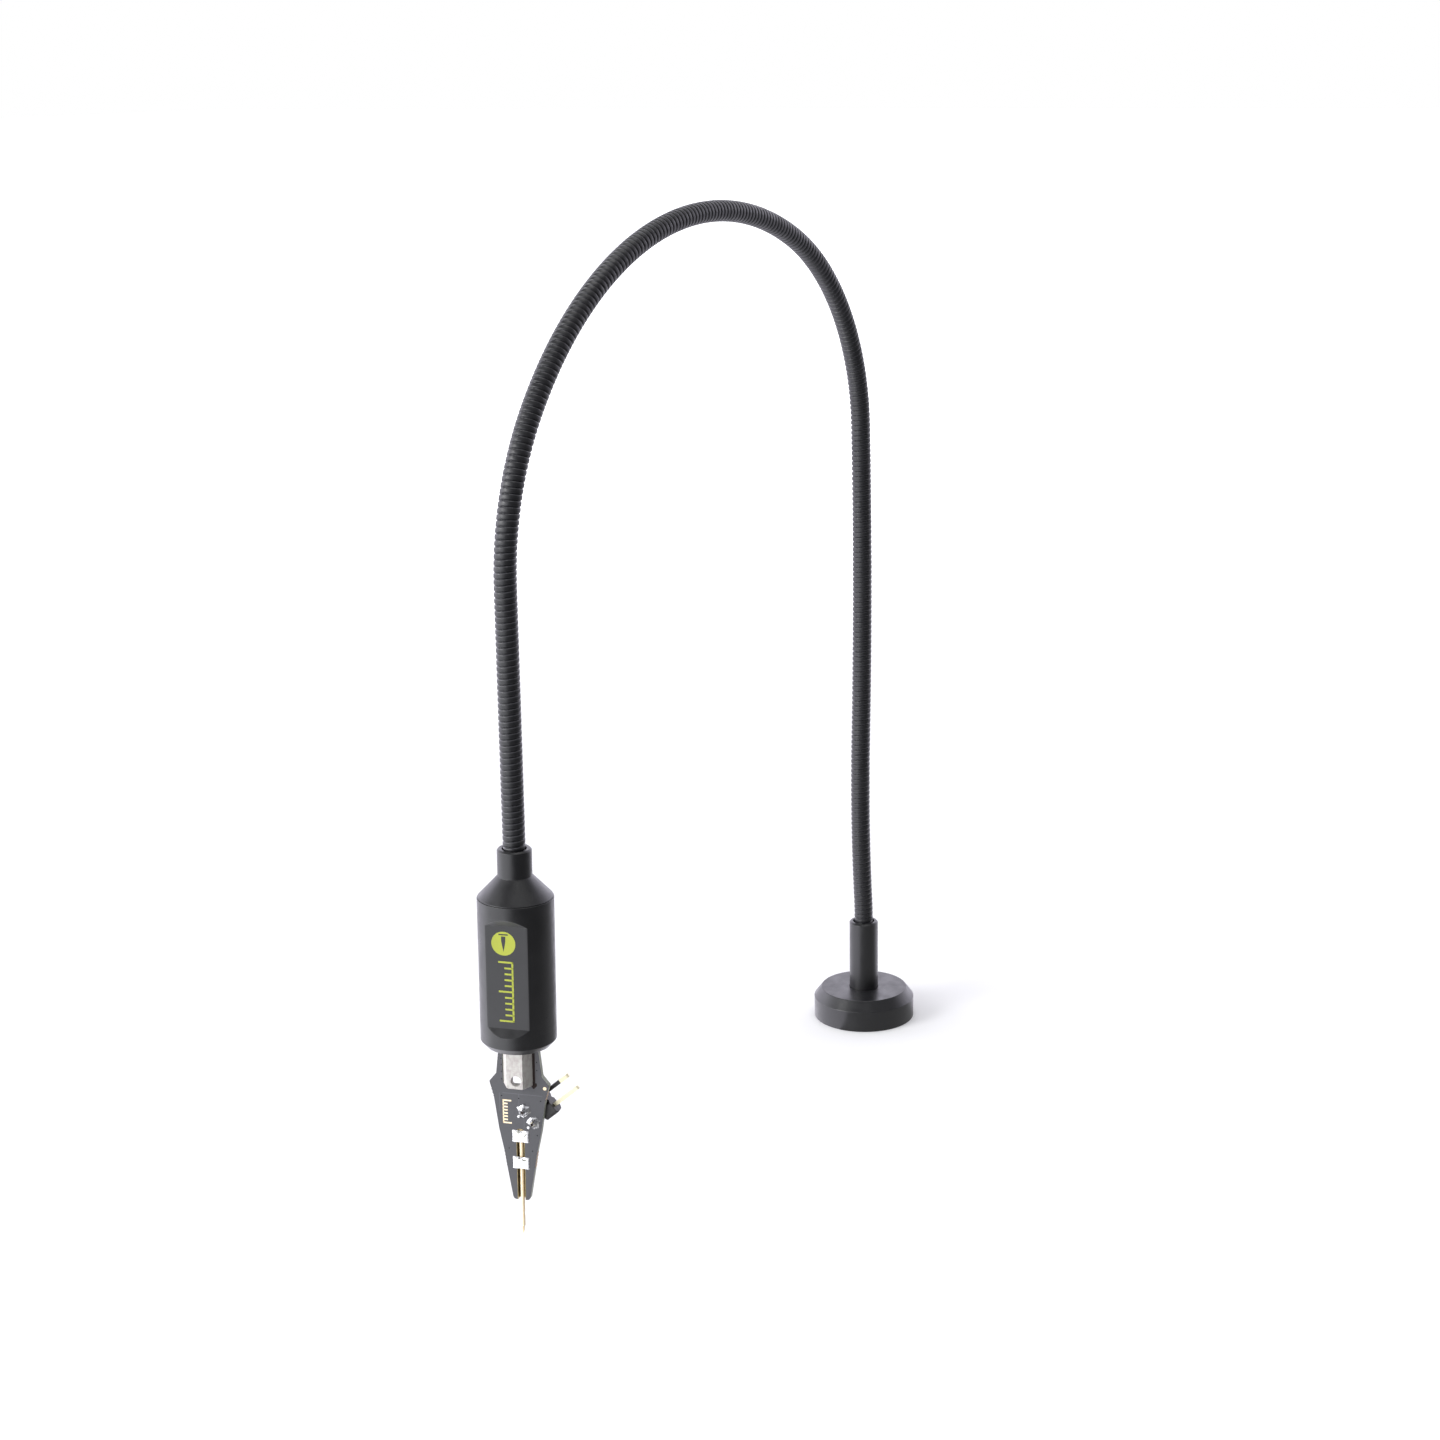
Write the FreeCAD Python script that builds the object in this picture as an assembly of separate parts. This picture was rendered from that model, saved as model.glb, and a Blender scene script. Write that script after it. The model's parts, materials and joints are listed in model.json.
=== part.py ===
"""Hands-free probe for circuit boards: magnetic foot, bendable arm, weighted head and sprung needle.

All sizes are in millimetres. The origin is the centre of the foot's underside, +Z is up, and the
arm arches over in the XZ plane towards -X, where the needle's tip stands on the same surface.
The head is drawn in a frame of its own: origin at the needle's tip, z up its axis, the board's
printed side facing -y. One placement then puts it at the end of the arm.
"""
import FreeCAD, Part
from math import atan2, ceil, cos, degrees, pi, radians, sin, sqrt, tan
import os

V = FreeCAD.Vector

# How far a cutter runs past what it cuts
CUT_MARGIN = 1.0

# Foot, with the magnet pressed in from below
FOOT_RADIUS = 10.0
FOOT_HEIGHT = 6.0
FOOT_SIDE_HEIGHT = 4.1
FOOT_BEVEL_WIDTH = 1.5
MAGNET_RADIUS = 8.0
MAGNET_THICKNESS = 3.0
MAGNET_CLEARANCE = 0.05

# Socket that stands on the foot and holds the arm's lower end
SOCKET_RADIUS = 2.85
SOCKET_TOP = 20.0
SOCKET_RECESS = 0.8
SOCKET_EDGE_BREAK = 0.3
ARM_SEAT_IN_SOCKET = 9.5
SOCKET_BORE_CLEARANCE = 0.3

# Countersunk screw from under the magnet into the socket
SCREW_RADIUS = 1.5
SCREW_HEAD_RADIUS = 2.75
SCREW_HEAD_HEIGHT = 1.6
SCREW_LENGTH = 6.5
SCREW_CLEARANCE = 0.1
SCREW_DRIVE_ACROSS_FLATS = 2.0
SCREW_DRIVE_DEPTH = 1.1

# Bendable arm: a wound metal hose, in short rigid lengths that bend on one another
ARM_RADIUS = 1.834
ARM_JOINTS = 16
ARM_FIRST_JOINT = 6.0
ARM_LAST_JOINT = 6.0
ARM_JOINT_GAP = 0.08
ARM_BEND_LIMIT = 50.0
ARM_CORNER_TURN = 9.0
ARM_LEAST_TURN = 0.6

# Runs of the arm's path from the socket's mouth: each has a length, and a turn in degrees towards +X
LEAN_LENGTH = 5.1
LEAN_TURN = -5.1
POST_LENGTH = 33.7
POST_TURN = 7.5
RISE_LENGTH = 61.1
RISE_TURN = -4.5
SHOULDER_LENGTH = 46.8
SHOULDER_TURN = -62.4
CROWN_LENGTH = 88.6
CROWN_TURN = -81.4
FALL_LENGTH = 27.6
FALL_TURN = -33.5

# Head: cap with the neck, weight barrel with a milled flat
HEAD_TWIST = -70.65
HEAD_SIDE_LEAN = 0.64
NECK_RADIUS = 2.8
NECK_LENGTH = 4.5
NECK_EDGE_BREAK = 0.25
NECK_BORE_CLEARANCE = 0.15
ARM_SEAT_IN_NECK = 6.97
ARM_SEAT_GAP = 0.03
BARREL_RADIUS = 6.2
BARREL_LENGTH = 25.15
CAP_CONE_HEIGHT = 3.6
CAP_SPIGOT_RADIUS = 4.0
CAP_SPIGOT_LENGTH = 5.0
BARREL_BEVEL_WIDTH = 0.9
BARREL_BEVEL_HEIGHT = 1.05
FLAT_FROM_AXIS = 5.1
FLAT_LENGTH = 17.3
FLAT_ABOVE_BARREL_END = 4.4
FLAT_RAMP = 1.4

# Hexagonal standoff that screws into the barrel and carries the board
STANDOFF_ACROSS_FLATS = 4.76
STANDOFF_LENGTH = 7.35
STANDOFF_BEVEL = 0.6
STANDOFF_BORE_RADIUS = 1.25
STANDOFF_BORE_DEPTH = 6.0
STUD_RADIUS = 1.5
STUD_LENGTH = 6.0
CROSS_HOLE_RADIUS = 0.85
CROSS_HOLE_FROM_END = 1.5
BACK_SLOT_WIDTH = 2.3
BACK_SLOT_LENGTH = 3.6

# Probe board: a tapered circuit board whose fork grips the standoff's side corners
BOARD_THICKNESS = 1.0
BOARD_END = 6.55
BOARD_TOP_CLEARANCE = 0.1
BOARD_END_HALF_WIDTH = 1.4
BOARD_END_CORNER = 0.6
BOARD_GRIP_HALF_WIDTH = 2.36
BOARD_GRIP_HEIGHT = 12.2
BOARD_NOTCHED_HALF_WIDTH = 2.76
BOARD_NOTCHED_HEIGHT = 14.9
BOARD_WAIST_HALF_WIDTH = 3.6
BOARD_WAIST_HEIGHT = 18.9
BOARD_EAR_HALF_WIDTH = 5.12
BOARD_EAR_HEIGHT = 27.25
BOARD_EAR_ROOT_HALF_WIDTH = 4.4
BOARD_EAR_ROOT_HEIGHT = 24.6
BOARD_EAR_CORNER = 0.4
BOARD_SHOULDER_HALF_WIDTH = 3.9
BOARD_SHOULDER_HEIGHT = 28.75
BOARD_TOP_HALF_WIDTH = 3.3
FORK_FLOOR = 26.85
FORK_CLEARANCE = 0.02
FORK_END_CLEARANCE = 0.05
FORK_CORNER = 0.7
NOTCH_RADIUS = 0.2
NOTCH_PITCH = 0.6
UPPER_NOTCHES = 3
UPPER_NOTCH_HEIGHT = 24.7
LOWER_NOTCHES = 5
LOWER_NOTCH_HEIGHT = 12.6

# Needle slot, its gold lining and the two solder pads that hold the needle
SLOT_WIDTH = 1.4
SLOT_TOP = 19.2
SLOT_CORNER = 0.6
LINING_THICKNESS = 0.07
PAD_HALF_WIDTH = 1.42
PAD_HEIGHT = 2.1
PAD_PROUD = 0.22
PAD_CORNER = 0.3
UPPER_PAD_BOTTOM = 16.84
LOWER_PAD_BOTTOM = 12.12

# Sprung needle: sleeve, plunger and the spring inside
SLEEVE_RADIUS = 0.34
SLEEVE_BORE_RADIUS = 0.25
SLEEVE_BOTTOM = 1.67
SLEEVE_TOP_WALL = 0.2
SLEEVE_TOP_GAP = 0.1
CRIMP_HEIGHT = 3.9
CRIMP_LENGTH = 0.4
CRIMP_DEPTH = 0.05
NEEDLE_RADIUS = 0.165
NEEDLE_POINT_LENGTH = 0.9
NEEDLE_CLEARANCE = 0.03
PISTON_LENGTH = 2.0
PISTON_REST_GAP = 0.1
SPRING_WALL = 0.06

# Two-pin angled header behind the board
PIN_PITCH = 2.54
PIN_WIDTH = 0.64
PIN_BEND_RADIUS = 0.5
PIN_POINT = 0.25
HEADER_SIDE_OFFSET = 1.5
HEADER_MIDDLE_HEIGHT = 21.5
HEADER_ANGLE = 41.0
BLOCK_FROM_PINS = 1.5
BLOCK_DEPTH = 2.54
BLOCK_HEIGHT = 2.5
BLOCK_BEVEL = 0.45
PIN_REACH = 9.4
PIN_THROUGH = 0.75
PIN_HOLE_RADIUS = 0.55
SOLDER_RADIUS = 0.85
SOLDER_TIP_RADIUS = 0.48
SOLDER_HEIGHT = 0.6
SOLDER_STEPS = 2

# Heights from the needle's tip and half sizes, worked out from the sizes above
STANDOFF_END = FORK_FLOOR + FORK_END_CLEARANCE
BARREL_END = STANDOFF_END + STANDOFF_LENGTH
BARREL_TOP = BARREL_END + BARREL_LENGTH
NECK_TOP = BARREL_TOP + CAP_CONE_HEIGHT + NECK_LENGTH
HALF_BOARD = BOARD_THICKNESS / 2
HALF_SLOT = SLOT_WIDTH / 2
SLEEVE_TOP = SLOT_TOP - LINING_THICKNESS - SLEEVE_TOP_GAP
STANDOFF_CORNER = STANDOFF_ACROSS_FLATS / sqrt(3)
ARM_RUNS = (
    (LEAN_LENGTH, LEAN_TURN),
    (POST_LENGTH, POST_TURN),
    (RISE_LENGTH, RISE_TURN),
    (SHOULDER_LENGTH, SHOULDER_TURN),
    (CROWN_LENGTH, CROWN_TURN),
    (FALL_LENGTH, FALL_TURN),
)


def save(shape, node):
    """Write one sub-part, and stop if its solids aren't sound."""
    if not shape.Solids or not shape.isValid():
        raise ValueError(node + " is not a sound solid")
    shape.exportStep("parts/" + node + ".step")


def turned(profile):
    """A solid turned about the z axis from a closed profile of (radius, height) points."""
    points = [V(r, 0, z) for r, z in profile]
    points.append(points[0])
    face = Part.Face(Part.makePolygon(points))
    return face.revolve(V(0, 0, 0), V(0, 0, 1), 360)


def block(x0, x1, y0, y1, z0, z1):
    """A box from its two opposite corners."""
    return Part.makeBox(x1 - x0, y1 - y0, z1 - z0, V(x0, y0, z0))


def cylinder(radius, bottom, top):
    """A cylinder up the z axis between two heights."""
    return Part.makeCylinder(radius, top - bottom, V(0, 0, bottom))


def rounded_wire(corners):
    """A closed outline in the xz plane from (x, z, corner radius) points, with tangent arcs."""
    edges = []
    count = len(corners)
    starts = []
    ends = []
    for i in range(count):
        here = V(corners[i][0], 0, corners[i][1])
        before = V(corners[i - 1][0], 0, corners[i - 1][1])
        after = V(corners[(i + 1) % count][0], 0, corners[(i + 1) % count][1])
        back = (before - here).normalize()
        ahead = (after - here).normalize()
        radius = corners[i][2]
        if radius == 0:
            starts.append(here)
            ends.append(here)
            continue
        half = back.getAngle(ahead) / 2
        reach = radius / tan(half)
        centre = here + (back + ahead).normalize() * (radius / sin(half))
        middle = centre + (here - centre).normalize() * radius
        starts.append(here + back * reach)
        ends.append(here + ahead * reach)
        edges.append(Part.Arc(starts[-1], middle, ends[-1]).toShape())
    for i in range(count):
        a = ends[i]
        b = starts[(i + 1) % count]
        if a.distanceToPoint(b) > 1e-6:
            edges.append(Part.LineSegment(a, b).toShape())
    return Part.Wire(Part.__sortEdges__(edges))


def plate(corners, front, back):
    """A plate with a rounded outline in the xz plane, from y = front to y = back."""
    face = Part.Face(rounded_wire(corners))
    solid = face.extrude(V(0, back - front, 0))
    solid.translate(V(0, front, 0))
    return solid


# Path of the arm's centreline

def heading_vector(heading):
    """The unit vector in the XZ plane that leans by heading degrees from +Z towards +X."""
    return V(sin(radians(heading)), 0, cos(radians(heading)))


def side_vector(heading):
    """The unit vector in the XZ plane at right angles to the heading."""
    return V(cos(radians(heading)), 0, -sin(radians(heading)))


def advance(point, heading, length, turn):
    """Where a run of this length and turn ends, with the heading there."""
    if turn == 0:
        return point + heading_vector(heading) * length, heading
    radius = length / radians(turn)
    centre = point + side_vector(heading) * radius
    return centre - side_vector(heading + turn) * radius, heading + turn


def arm_path():
    """The runs from the socket's seat to the neck's seat, the last free run set by the floor."""
    point, heading = V(0, 0, SOCKET_TOP), 0.0
    for length, turn in ARM_RUNS:
        point, heading = advance(point, heading, length, turn)
    head_drop = NECK_TOP * cos(radians(heading)) * cos(radians(HEAD_SIDE_LEAN))
    last = (point.z + head_drop) / -cos(radians(heading))
    runs = [(ARM_SEAT_IN_SOCKET, 0.0)]
    runs.extend(ARM_RUNS)
    runs.append((last + ARM_SEAT_IN_NECK, 0.0))
    return runs


def path_at(s):
    """Point and heading at a distance s along the arm from the bottom of its lower seat."""
    point, heading = V(0, 0, SOCKET_TOP - ARM_SEAT_IN_SOCKET), 0.0
    for length, turn in arm_path():
        if s <= length:
            return advance(point, heading, s, turn * s / length)
        point, heading = advance(point, heading, length, turn)
        s -= length
    return point + heading_vector(heading) * s, heading


def corner_points(s0, s1):
    """The corners of straight lines that touch the path from s0 to s1, and the two ends.

    A stretch that turns by less than the least turn gets no corner of its own.
    """
    corners = [path_at(s0)[0]]
    start = 0.0
    for length, turn in arm_path():
        a = max(s0, start)
        b = min(s1, start + length)
        start += length
        bend = abs(turn) * (b - a) / length
        if bend < ARM_LEAST_TURN:
            continue
        count = ceil(bend / ARM_CORNER_TURN)
        step = (b - a) / count
        reach = length / radians(turn) * tan(radians(turn * step / length) / 2)
        for k in range(count):
            point, heading = path_at(a + step * k)
            corners.append(point + heading_vector(heading) * reach)
    corners.append(path_at(s1)[0])
    return corners


def stood_at(solid, point, way, across):
    """A solid drawn along z and bending about y, moved to a point and a way, a quarter turned if across."""
    if across:
        solid.rotate(V(0, 0, 0), V(0, 0, 1), 90)
    solid.rotate(V(0, 0, 0), V(0, 1, 0), degrees(atan2(way.x, way.z)))
    solid.translate(point)
    return solid


def mitred_rod(corners):
    """A round rod of straight lengths from corner to corner, mitred where they meet.

    Its seam runs between the joints' axes, where no cutter's edge touches it.
    """
    circle = Part.makeCircle(ARM_RADIUS)
    circle.rotate(V(0, 0, 0), V(0, 0, 1), 45)
    stood_at(circle, corners[0], corners[1] - corners[0], False)
    return Part.makePolygon(corners).makePipeShell([Part.Wire(circle)], True, False, 1)


def swept_cutter(arc, corners):
    """A cutter as wide as the arm and more: the arc, and lines from its end back to its start."""
    edges = [arc.toShape()]
    for a, b in zip(corners[:-1], corners[1:]):
        edges.append(Part.LineSegment(a, b).toShape())
    outside = ARM_RADIUS + CUT_MARGIN
    cutter = Part.Face(Part.Wire(edges)).extrude(V(0, 2 * outside, 0))
    cutter.translate(V(0, -outside, 0))
    return cutter


def nose_cutter():
    """What is cut from a section's end, to leave a half-round nose about the joint's axis."""
    outside = ARM_RADIUS + CUT_MARGIN
    arc = Part.Arc(V(-ARM_RADIUS, 0, 0), V(0, 0, ARM_RADIUS), V(ARM_RADIUS, 0, 0))
    corners = [
        V(ARM_RADIUS, 0, 0),
        V(outside, 0, 0),
        V(outside, 0, outside),
        V(-outside, 0, outside),
        V(-outside, 0, 0),
        V(-ARM_RADIUS, 0, 0),
    ]
    return swept_cutter(arc, corners)


def trough_cutter():
    """What is cut from a section's start: room for the nose, and for the rod behind it to swing."""
    radius = ARM_RADIUS + ARM_JOINT_GAP
    limit = radians(ARM_BEND_LIMIT)
    outside = ARM_RADIUS + CUT_MARGIN
    rim_x = radius * cos(limit)
    rim_z = radius * sin(limit)
    fall = rim_z - (outside - rim_x) / tan(limit)
    arc = Part.Arc(V(-rim_x, 0, rim_z), V(0, 0, radius), V(rim_x, 0, rim_z))
    corners = [
        V(rim_x, 0, rim_z),
        V(outside, 0, fall),
        V(outside, 0, -CUT_MARGIN),
        V(-outside, 0, -CUT_MARGIN),
        V(-outside, 0, fall),
        V(-rim_x, 0, rim_z),
    ]
    return swept_cutter(arc, corners)


def joint_distances():
    """How far along the path each bending point lies."""
    total = sum(length for length, turn in arm_path())
    first = ARM_SEAT_IN_SOCKET + ARM_FIRST_JOINT
    last = total - ARM_SEAT_IN_NECK - ARM_LAST_JOINT
    step = (last - first) / (ARM_JOINTS - 1)
    return [first + step * k for k in range(ARM_JOINTS)], total


def arm_section(stations, k):
    """One length of the arm: a trough at its start and a nose at its end, where it bends.

    Joints bend in turn in the arch's plane and across it, so the two ends are a quarter turn apart.
    """
    corners = corner_points(stations[k], stations[k + 1])
    way_in = corners[1] - corners[0]
    way_out = corners[-1] - corners[-2]
    cutters = []
    if k > 0:
        cutters.append(stood_at(trough_cutter(), corners[0], way_in, k % 2 == 0))
    if k < ARM_JOINTS:
        cutters.append(stood_at(nose_cutter(), corners[-1], way_out, k % 2 == 1))
        corners[-1] = corners[-1] + way_out.normalize() * ARM_RADIUS
    return mitred_rod(corners).cut(cutters)


# Foot

def foot_housing():
    """Turned body with a bevelled top, a magnet pocket below and a recess for the socket."""
    body = turned([
        (0, 0),
        (FOOT_RADIUS, 0),
        (FOOT_RADIUS, FOOT_SIDE_HEIGHT),
        (FOOT_RADIUS - FOOT_BEVEL_WIDTH, FOOT_HEIGHT),
        (0, FOOT_HEIGHT),
    ])
    pocket = cylinder(MAGNET_RADIUS + MAGNET_CLEARANCE, 0, MAGNET_THICKNESS)
    recess = cylinder(SOCKET_RADIUS, FOOT_HEIGHT - SOCKET_RECESS, FOOT_HEIGHT)
    hole = cylinder(SCREW_RADIUS + SCREW_CLEARANCE, MAGNET_THICKNESS, FOOT_HEIGHT)
    sink = turned(screw_head_profile(SCREW_CLEARANCE))
    return body.cut([pocket, recess, hole, sink])


def screw_head_profile(clearance):
    """The countersunk head's cone, as large as the head or wider by a clearance."""
    top = MAGNET_THICKNESS + SCREW_HEAD_HEIGHT
    return [
        (0, MAGNET_THICKNESS),
        (SCREW_HEAD_RADIUS + clearance, MAGNET_THICKNESS),
        (SCREW_RADIUS + clearance, top),
        (0, top),
    ]


def foot_screw():
    """Countersunk screw with a hexagonal drive, its point inside the socket."""
    head = turned(screw_head_profile(0))
    shank = cylinder(SCREW_RADIUS, MAGNET_THICKNESS, MAGNET_THICKNESS + SCREW_LENGTH)
    drive = hexagon(SCREW_DRIVE_ACROSS_FLATS, MAGNET_THICKNESS, MAGNET_THICKNESS + SCREW_DRIVE_DEPTH)
    return head.fuse(shank).cut(drive).removeSplitter()


def stem_socket():
    """Turned post: the arm's bore from above, the screw's thread from below."""
    bottom = FOOT_HEIGHT - SOCKET_RECESS
    bore = ARM_RADIUS + SOCKET_BORE_CLEARANCE
    seat = SOCKET_TOP - ARM_SEAT_IN_SOCKET
    post = turned([
        (0, bottom),
        (SOCKET_RADIUS, bottom),
        (SOCKET_RADIUS, SOCKET_TOP - SOCKET_EDGE_BREAK),
        (SOCKET_RADIUS - SOCKET_EDGE_BREAK, SOCKET_TOP),
        (bore, SOCKET_TOP),
        (bore, seat),
        (0, seat),
    ])
    return post.cut(cylinder(SCREW_RADIUS, bottom, MAGNET_THICKNESS + SCREW_LENGTH))


def hexagon(across_flats, bottom, top):
    """An upright hexagonal bar with flats towards +y and -y."""
    radius = across_flats / sqrt(3)
    points = [V(radius * cos(k * pi / 3), radius * sin(k * pi / 3), bottom) for k in range(7)]
    return Part.Face(Part.makePolygon(points)).extrude(V(0, 0, top - bottom))


# Head

def neck_cap():
    """Turned cap: neck with the arm's bore, cone, and the spigot that screws into the barrel."""
    bore = ARM_RADIUS + NECK_BORE_CLEARANCE
    floor = NECK_TOP - ARM_SEAT_IN_NECK - ARM_SEAT_GAP
    return turned([
        (0, BARREL_TOP - CAP_SPIGOT_LENGTH),
        (CAP_SPIGOT_RADIUS, BARREL_TOP - CAP_SPIGOT_LENGTH),
        (CAP_SPIGOT_RADIUS, BARREL_TOP),
        (BARREL_RADIUS, BARREL_TOP),
        (NECK_RADIUS, NECK_TOP - NECK_LENGTH),
        (NECK_RADIUS, NECK_TOP - NECK_EDGE_BREAK),
        (NECK_RADIUS - NECK_EDGE_BREAK, NECK_TOP),
        (bore, NECK_TOP),
        (bore, floor),
        (0, floor),
    ])


def weight_barrel():
    """Turned weight with a bevelled end and one milled flat that runs out in a ramp at each end."""
    body = turned([
        (0, BARREL_END),
        (BARREL_RADIUS - BARREL_BEVEL_WIDTH, BARREL_END),
        (BARREL_RADIUS, BARREL_END + BARREL_BEVEL_HEIGHT),
        (BARREL_RADIUS, BARREL_TOP),
        (CAP_SPIGOT_RADIUS, BARREL_TOP),
        (CAP_SPIGOT_RADIUS, BARREL_TOP - CAP_SPIGOT_LENGTH),
        (0, BARREL_TOP - CAP_SPIGOT_LENGTH),
    ])
    low = BARREL_END + FLAT_ABOVE_BARREL_END
    high = low + FLAT_LENGTH
    ramp_depth = BARREL_RADIUS - FLAT_FROM_AXIS
    slope = FLAT_RAMP / ramp_depth
    outside = BARREL_RADIUS + 1
    run_out = (outside - FLAT_FROM_AXIS) * slope
    points = [
        V(-outside, -FLAT_FROM_AXIS, low),
        V(-outside, -FLAT_FROM_AXIS, high),
        V(-outside, -outside, high + run_out),
        V(-outside, -outside, low - run_out),
        V(-outside, -FLAT_FROM_AXIS, low),
    ]
    milled = Part.Face(Part.makePolygon(points)).extrude(V(2 * outside, 0, 0))
    return body.cut([milled, cylinder(STUD_RADIUS, BARREL_END, BARREL_END + STUD_LENGTH)])


def hex_standoff():
    """Hexagonal standoff: stud above, bore below, cross hole in front and a slot behind."""
    bar = hexagon(STANDOFF_ACROSS_FLATS, STANDOFF_END, BARREL_END)
    turned_end = turned([
        (0, STANDOFF_END),
        (STANDOFF_CORNER - STANDOFF_BEVEL, STANDOFF_END),
        (STANDOFF_CORNER, STANDOFF_END + STANDOFF_BEVEL),
        (STANDOFF_CORNER + 1, STANDOFF_END + STANDOFF_BEVEL),
        (STANDOFF_CORNER + 1, BARREL_END),
        (0, BARREL_END),
    ])
    stud = cylinder(STUD_RADIUS, BARREL_END, BARREL_END + STUD_LENGTH)
    bore = cylinder(STANDOFF_BORE_RADIUS, STANDOFF_END, STANDOFF_END + STANDOFF_BORE_DEPTH)
    centre = V(0, -STANDOFF_CORNER, STANDOFF_END + CROSS_HOLE_FROM_END)
    cross = Part.makeCylinder(CROSS_HOLE_RADIUS, STANDOFF_CORNER, centre, V(0, 1, 0))
    half = BACK_SLOT_WIDTH / 2
    slot = block(-half, half, 0, STANDOFF_CORNER, STANDOFF_END, STANDOFF_END + BACK_SLOT_LENGTH)
    return bar.common(turned_end).fuse(stud).cut([bore, cross, slot]).removeSplitter()


def board_side(sign):
    """One side of the board's outline from its lower end to the fork, as (x, z, radius) points."""
    fork = STANDOFF_CORNER + FORK_CLEARANCE
    top = BARREL_END - BOARD_TOP_CLEARANCE
    return [
        (sign * HALF_SLOT, BOARD_END, 0),
        (sign * BOARD_END_HALF_WIDTH, BOARD_END, BOARD_END_CORNER),
        (sign * BOARD_GRIP_HALF_WIDTH, BOARD_GRIP_HEIGHT, 0),
        (sign * BOARD_NOTCHED_HALF_WIDTH, BOARD_NOTCHED_HEIGHT, 0),
        (sign * BOARD_WAIST_HALF_WIDTH, BOARD_WAIST_HEIGHT, 0),
        (sign * BOARD_EAR_ROOT_HALF_WIDTH, BOARD_EAR_ROOT_HEIGHT, 0),
        (sign * BOARD_EAR_HALF_WIDTH, BOARD_EAR_HEIGHT, BOARD_EAR_CORNER),
        (sign * BOARD_SHOULDER_HALF_WIDTH, BOARD_SHOULDER_HEIGHT, BOARD_EAR_CORNER),
        (sign * BOARD_TOP_HALF_WIDTH, top, 0),
        (sign * fork, top, 0),
        (sign * fork, FORK_FLOOR, FORK_CORNER),
    ]


def side_half_width(height):
    """Half the board's width at a height, along the straight lines of its sides."""
    line = [
        (BOARD_END, BOARD_END_HALF_WIDTH),
        (BOARD_GRIP_HEIGHT, BOARD_GRIP_HALF_WIDTH),
        (BOARD_NOTCHED_HEIGHT, BOARD_NOTCHED_HALF_WIDTH),
        (BOARD_WAIST_HEIGHT, BOARD_WAIST_HALF_WIDTH),
        (BOARD_EAR_ROOT_HEIGHT, BOARD_EAR_ROOT_HALF_WIDTH),
        (BOARD_EAR_HEIGHT, BOARD_EAR_HALF_WIDTH),
    ]
    for (z0, w0), (z1, w1) in zip(line[:-1], line[1:]):
        if z0 <= height <= z1:
            return w0 + (w1 - w0) * (height - z0) / (z1 - z0)
    return BOARD_EAR_HALF_WIDTH


def through(x, z, radius):
    """A round cutter straight through the board at (x, z)."""
    start = V(x, -BOARD_THICKNESS, z)
    return Part.makeCylinder(radius, 2 * BOARD_THICKNESS, start, V(0, 1, 0))


def probe_board():
    """Tapered board with a fork above, ears, rows of edge notches, the needle slot and pin holes."""
    right = board_side(1)
    left = board_side(-1)
    left.reverse()
    slot_top = [(-HALF_SLOT, SLOT_TOP, SLOT_CORNER), (HALF_SLOT, SLOT_TOP, SLOT_CORNER)]
    board = plate(right + left + slot_top, -HALF_BOARD, HALF_BOARD)
    cutters = []
    for sign in (1, -1):
        for count, height in ((UPPER_NOTCHES, UPPER_NOTCH_HEIGHT), (LOWER_NOTCHES, LOWER_NOTCH_HEIGHT)):
            for k in range(count):
                z = height + k * NOTCH_PITCH
                cutters.append(through(sign * side_half_width(z), z, NOTCH_RADIUS))
    for x, z in pin_places():
        cutters.append(through(x, z, PIN_HOLE_RADIUS))
    return board.cut(cutters)


def slot_outline(inset):
    """The slot's outline, open side down, made smaller all round but for its open end."""
    side = HALF_SLOT - inset
    top = SLOT_TOP - inset
    corner = SLOT_CORNER - inset
    return [
        (-side, BOARD_END, 0),
        (side, BOARD_END, 0),
        (side, top, corner),
        (-side, top, corner),
    ]


def lined_room():
    """The room that is left in the slot inside its gold lining."""
    return plate(slot_outline(LINING_THICKNESS), -HALF_BOARD, HALF_BOARD - LINING_THICKNESS)


def slot_lining():
    """Gold-plated channel in the needle slot: its walls, its round end and its floor at the back."""
    return plate(slot_outline(0), -HALF_BOARD, HALF_BOARD).cut(lined_room())


def solder_pad(bottom):
    """Solder that fills the slot round the sleeve and stands proud of the board's face."""
    top = bottom + PAD_HEIGHT
    outline = [
        (-PAD_HALF_WIDTH, bottom, PAD_CORNER),
        (PAD_HALF_WIDTH, bottom, PAD_CORNER),
        (PAD_HALF_WIDTH, top, PAD_CORNER),
        (-PAD_HALF_WIDTH, top, PAD_CORNER),
    ]
    cover = plate(outline, -HALF_BOARD - PAD_PROUD, -HALF_BOARD)
    fill = block(-HALF_SLOT, HALF_SLOT, -HALF_BOARD, HALF_BOARD, bottom, top).common(lined_room())
    return cover.fuse(fill).cut(cylinder(SLEEVE_RADIUS, bottom, top)).removeSplitter()


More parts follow.
